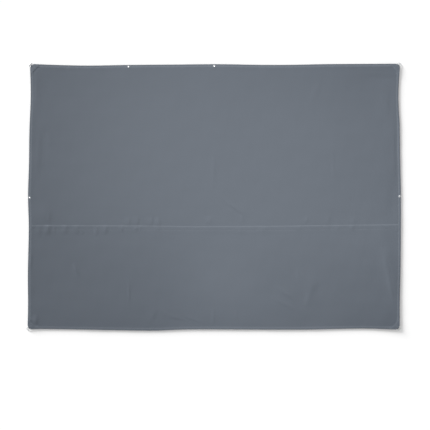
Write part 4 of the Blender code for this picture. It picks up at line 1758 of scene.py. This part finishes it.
@dataclass
class Eyelet:
    """A two-part eyelet clenched through a hem, its face rolled round the hole."""

    maker: ClothMaker
    hole: Hole
    steps: int = 56
    lip: tuple[tuple[float, float], ...] = (
        # out from the hole, and down from the flange's highest line
        (0.0, 0.0009), (0.00006, 0.0005), (0.0003, 0.00018), (0.0007, 0.00003), (0.0013, 0.0),
    )
    crown: tuple[tuple[float, float], ...] = (
        # back from the flange's edge, and down from its highest line
        (0.0016, 0.00012), (0.0007, 0.0003),
    )
    rim: tuple[tuple[float, float], ...] = (
        # back from the flange's edge, and up from the hem
        (0.0002, 0.0003), (0.0, 0.00012), (0.0003, 0.0),
    )

    def profile(self) -> Line:
        """Outline of its section: a domed flange on each side, joined by the barrel.

        Returns:
            Radius and height of each of its corners.
        """
        grip = CUT.hem / 2 + CUT.eyelet_gap
        top, inner, outer = grip + CUT.flange, CUT.hole_r, CUT.flange_r
        dome = [*((inner + out, top - down) for out, down in self.lip),
                *((outer - back, top - down) for back, down in self.crown),
                *((outer - back, grip + up) for back, up in self.rim), (CUT.barrel_r, grip)]
        return [*dome, *((r, -z) for r, z in reversed(dome))]

    def build(self) -> bpy.types.Object:
        """The eyelet.

        Returns:
            The piece.
        """
        # the section's Y points out from the hole
        turns = [Matrix.Rotation(math.tau * (0.75 - k / self.steps), 4, "Z") for k in range(self.steps)]
        piece = swept(self.hole.label + "_steel", self.profile(), turns, True)
        seat = self.maker.pattern.local_frame(*self.hole.value, 1.0, 0.0)
        piece.matrix_world = seat @ Matrix.Translation((0.0, 0.0, CUT.hem / 2))
        return piece


# --- Studio -------------------------------------------------------------------------


@dataclass
class Studio:
    """The floor, the lamps and the camera, which hangs straight above the sail."""

    sail: list[bpy.types.Object]
    floor_half: float = 14.0
    floor_drop: float = 0.0003
    lens: float = 85.0
    sensor: float = 36.0
    sight: float = 100.0  # how far the camera sees
    camera_height: float = 9.579
    camera_at: tuple[float, float] = (0.0107, -0.1733)
    low_lamp: tuple[float, float] = (12.5, 137.0)  # elevation, and azimuth from +X
    low_lamp_spread: float = 22.0  # how wide it looks from the sail
    low_lamp_strength: float = 6.7
    high_lamp_at: tuple[float, float, float] = (0.345, 0.440, 1.38)
    high_lamp_size: tuple[float, float] = (3.5, 2.5)
    high_lamp_turn: float = -18.0  # degrees; its long side runs from upper left to lower right
    high_lamp_power: float = 27.2
    near_lamp_at: tuple[float, float, float] = (0.074, -0.831, 0.55)
    near_lamp_size: tuple[float, float] = (0.6, 0.4)
    near_lamp_power: float = 0.53
    sky: float = 0.65

    def floor(self) -> None:
        """A wide sheet of paper just under the sail."""
        half, z = self.floor_half, -self.floor_drop
        verts = np.array([(-half, -half, z), (half, -half, z), (half, half, z), (-half, half, z)])
        floor = new_object("studio_floor", verts, [(0, 1, 2, 3)])
        floor.data.materials.append(StudioPaper().material())
        floor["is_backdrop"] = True

    def lamp(self, name: str, kind: str, power: float, towards: Vector) -> bpy.types.Object:
        """A lamp, not yet in its place.

        Args:
            name: the lamp's name.
            kind: Blender's name for its type.
            power: its strength.
            towards: the direction that its back faces.

        Returns:
            The lamp.
        """
        data = bpy.data.lights.new(name, kind)
        data.energy = power
        lamp = bpy.data.objects.new(name, data)
        lamp.rotation_euler = towards.to_track_quat("Z", "Y").to_euler()
        bpy.context.scene.collection.objects.link(lamp)
        return lamp

    def soft_box(self, name: str, power: float, at: tuple[float, float, float],
                 size: tuple[float, float], lit: bpy.types.Collection) -> bpy.types.Object:
        """A soft box that looks straight down on the sail and spares the paper.

        Args:
            name: the lamp's name.
            power: its strength.
            at: its middle.
            size: its length and width.
            lit: what it lights.

        Returns:
            The soft box.
        """
        box = self.lamp(name, "AREA", power, Vector((0.0, 0.0, 1.0)))
        box.data.shape = "RECTANGLE"
        box.data.size, box.data.size_y = size
        box.location = at
        box.visible_camera = False
        box.light_linking.receiver_collection = lit
        return box

    def lamps(self) -> None:
        """A low soft lamp at the upper left, two soft boxes overhead, and even light all round."""
        tilt, turn = (math.radians(angle) for angle in self.low_lamp)
        towards = Vector((math.cos(turn) * math.cos(tilt), math.sin(turn) * math.cos(tilt), math.sin(tilt)))
        low = self.lamp("low lamp", "SUN", self.low_lamp_strength, towards)
        low.data.angle = math.radians(self.low_lamp_spread)
        lit = bpy.data.collections.new("lit by the soft boxes")
        for piece in self.sail:
            lit.objects.link(piece)
        high = self.soft_box("high soft box", self.high_lamp_power, self.high_lamp_at,
                             self.high_lamp_size, lit)
        high.rotation_euler.z = math.radians(self.high_lamp_turn)
        self.soft_box("near soft box", self.near_lamp_power, self.near_lamp_at, self.near_lamp_size, lit)
        world = bpy.data.worlds.new("studio air")
        world.use_nodes = True
        background = world.node_tree.nodes["Background"]
        background.inputs["Color"].default_value = (1.0, 1.0, 1.0, 1.0)
        background.inputs["Strength"].default_value = self.sky
        bpy.context.scene.world = world

    def camera(self) -> None:
        """The camera, looking straight down."""
        data = bpy.data.cameras.new("camera")
        data.lens, data.sensor_width = self.lens, self.sensor
        data.clip_end = self.sight
        camera = bpy.data.objects.new("camera", data)
        camera.location = (*self.camera_at, self.camera_height)
        bpy.context.scene.collection.objects.link(camera)
        bpy.context.scene.camera = camera

    def build(self) -> None:
        """Everything round the sail."""
        self.floor()
        self.lamps()
        self.camera()
        bpy.context.scene.view_settings.view_transform = "Standard"


# --- The sail -----------------------------------------------------------------------


@dataclass
class ShadeSail:
    """The whole sail: two panels, hems, patches, webbing, rings, eyelets and stitching."""

    maker: ClothMaker
    finishes: Finishes
    made: list[bpy.types.Object] = field(default_factory=list)

    def cloth(self) -> tuple[bpy.types.Object, bpy.types.Object]:
        """The panels, the hems and the corner patches.

        Returns:
            The upper and the lower panel; the other pieces join the list of what is made.
        """
        panels, cloth = Panels(self.maker), self.finishes.cloth
        upper = dress(panels.upper(), cloth, "cloth", "panel_upper")
        lower = dress(panels.lower(), cloth, "cloth", "panel_lower")
        for side in (Side.TOP, Side.LEFT, Side.RIGHT):
            hem = Hem(self.maker, side)
            self.made.append(dress(hem.build(), cloth, "cloth", hem.label))
        for corner in Corner:
            patch = CornerPatch(self.maker, corner)
            self.made.append(dress(patch.build(), cloth, "cloth", f"corner_patch_{corner.label}"))
        return upper, lower

    def stitching(self) -> None:
        """All rows of thread."""
        sewing, rows, thread, face = Stitching(self.maker), Rows(), self.finishes.thread, self.maker.face
        jobs = [("stitches_hem", rows.hem(), face.over),
                ("stitches_seam", rows.seam(), lambda u, v: face.over(u, v, face.lap(v)))]
        for corner in Corner:
            patch_face = CornerPatch(self.maker, corner).top
            jobs.append((f"stitches_{corner.label}", rows.patch(corner), patch_face))
        for name, lines, top in jobs:
            self.made.append(dress(sewing.build(name, lines, top), thread, "cloth"))

    def hardware(self) -> None:
        """Webbing, rings and eyelets."""
        for corner in Corner:
            pair = CornerSet(self.maker, corner)
            self.made.append(dress(pair.webbing(), self.finishes.webbing, "webbing",
                                   f"webbing_loop_{corner.label}"))
            self.made.append(dress(pair.ring(), self.finishes.steel, "steel", f"d_ring_{corner.label}"))
        for hole in Hole:
            eyelet = Eyelet(self.maker, hole).build()
            self.made.append(dress(eyelet, self.finishes.steel, "steel", hole.label))

    def build(self) -> list[bpy.types.Object]:
        """Makes every piece.

        Returns:
            All the pieces.
        """
        upper, lower = self.cloth()
        self.stitching()
        self.hardware()
        return [upper, lower, *self.made]


def plain(box: tuple[Vector, Vector]) -> list[list[float]]:
    """A box as plain lists of numbers."""
    return [[float(c) for c in corner] for corner in box]


def main() -> None:
    """Builds the sail and its studio, and measures the solids' and the pieces' boxes."""
    logging.basicConfig(level=logging.INFO, format="%(name)s %(message)s")
    maker = ClothMaker(FlatPattern().settled(), Face(), Wear())
    LOG.info("the pattern is shifted by %s", maker.pattern.shift)
    Studio(ShadeSail(maker, Finishes.made()).build()).build()
    {"cad": plain(CAD_BOX), "visual": plain(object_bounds())}


if __name__ == "__main__":
    main()
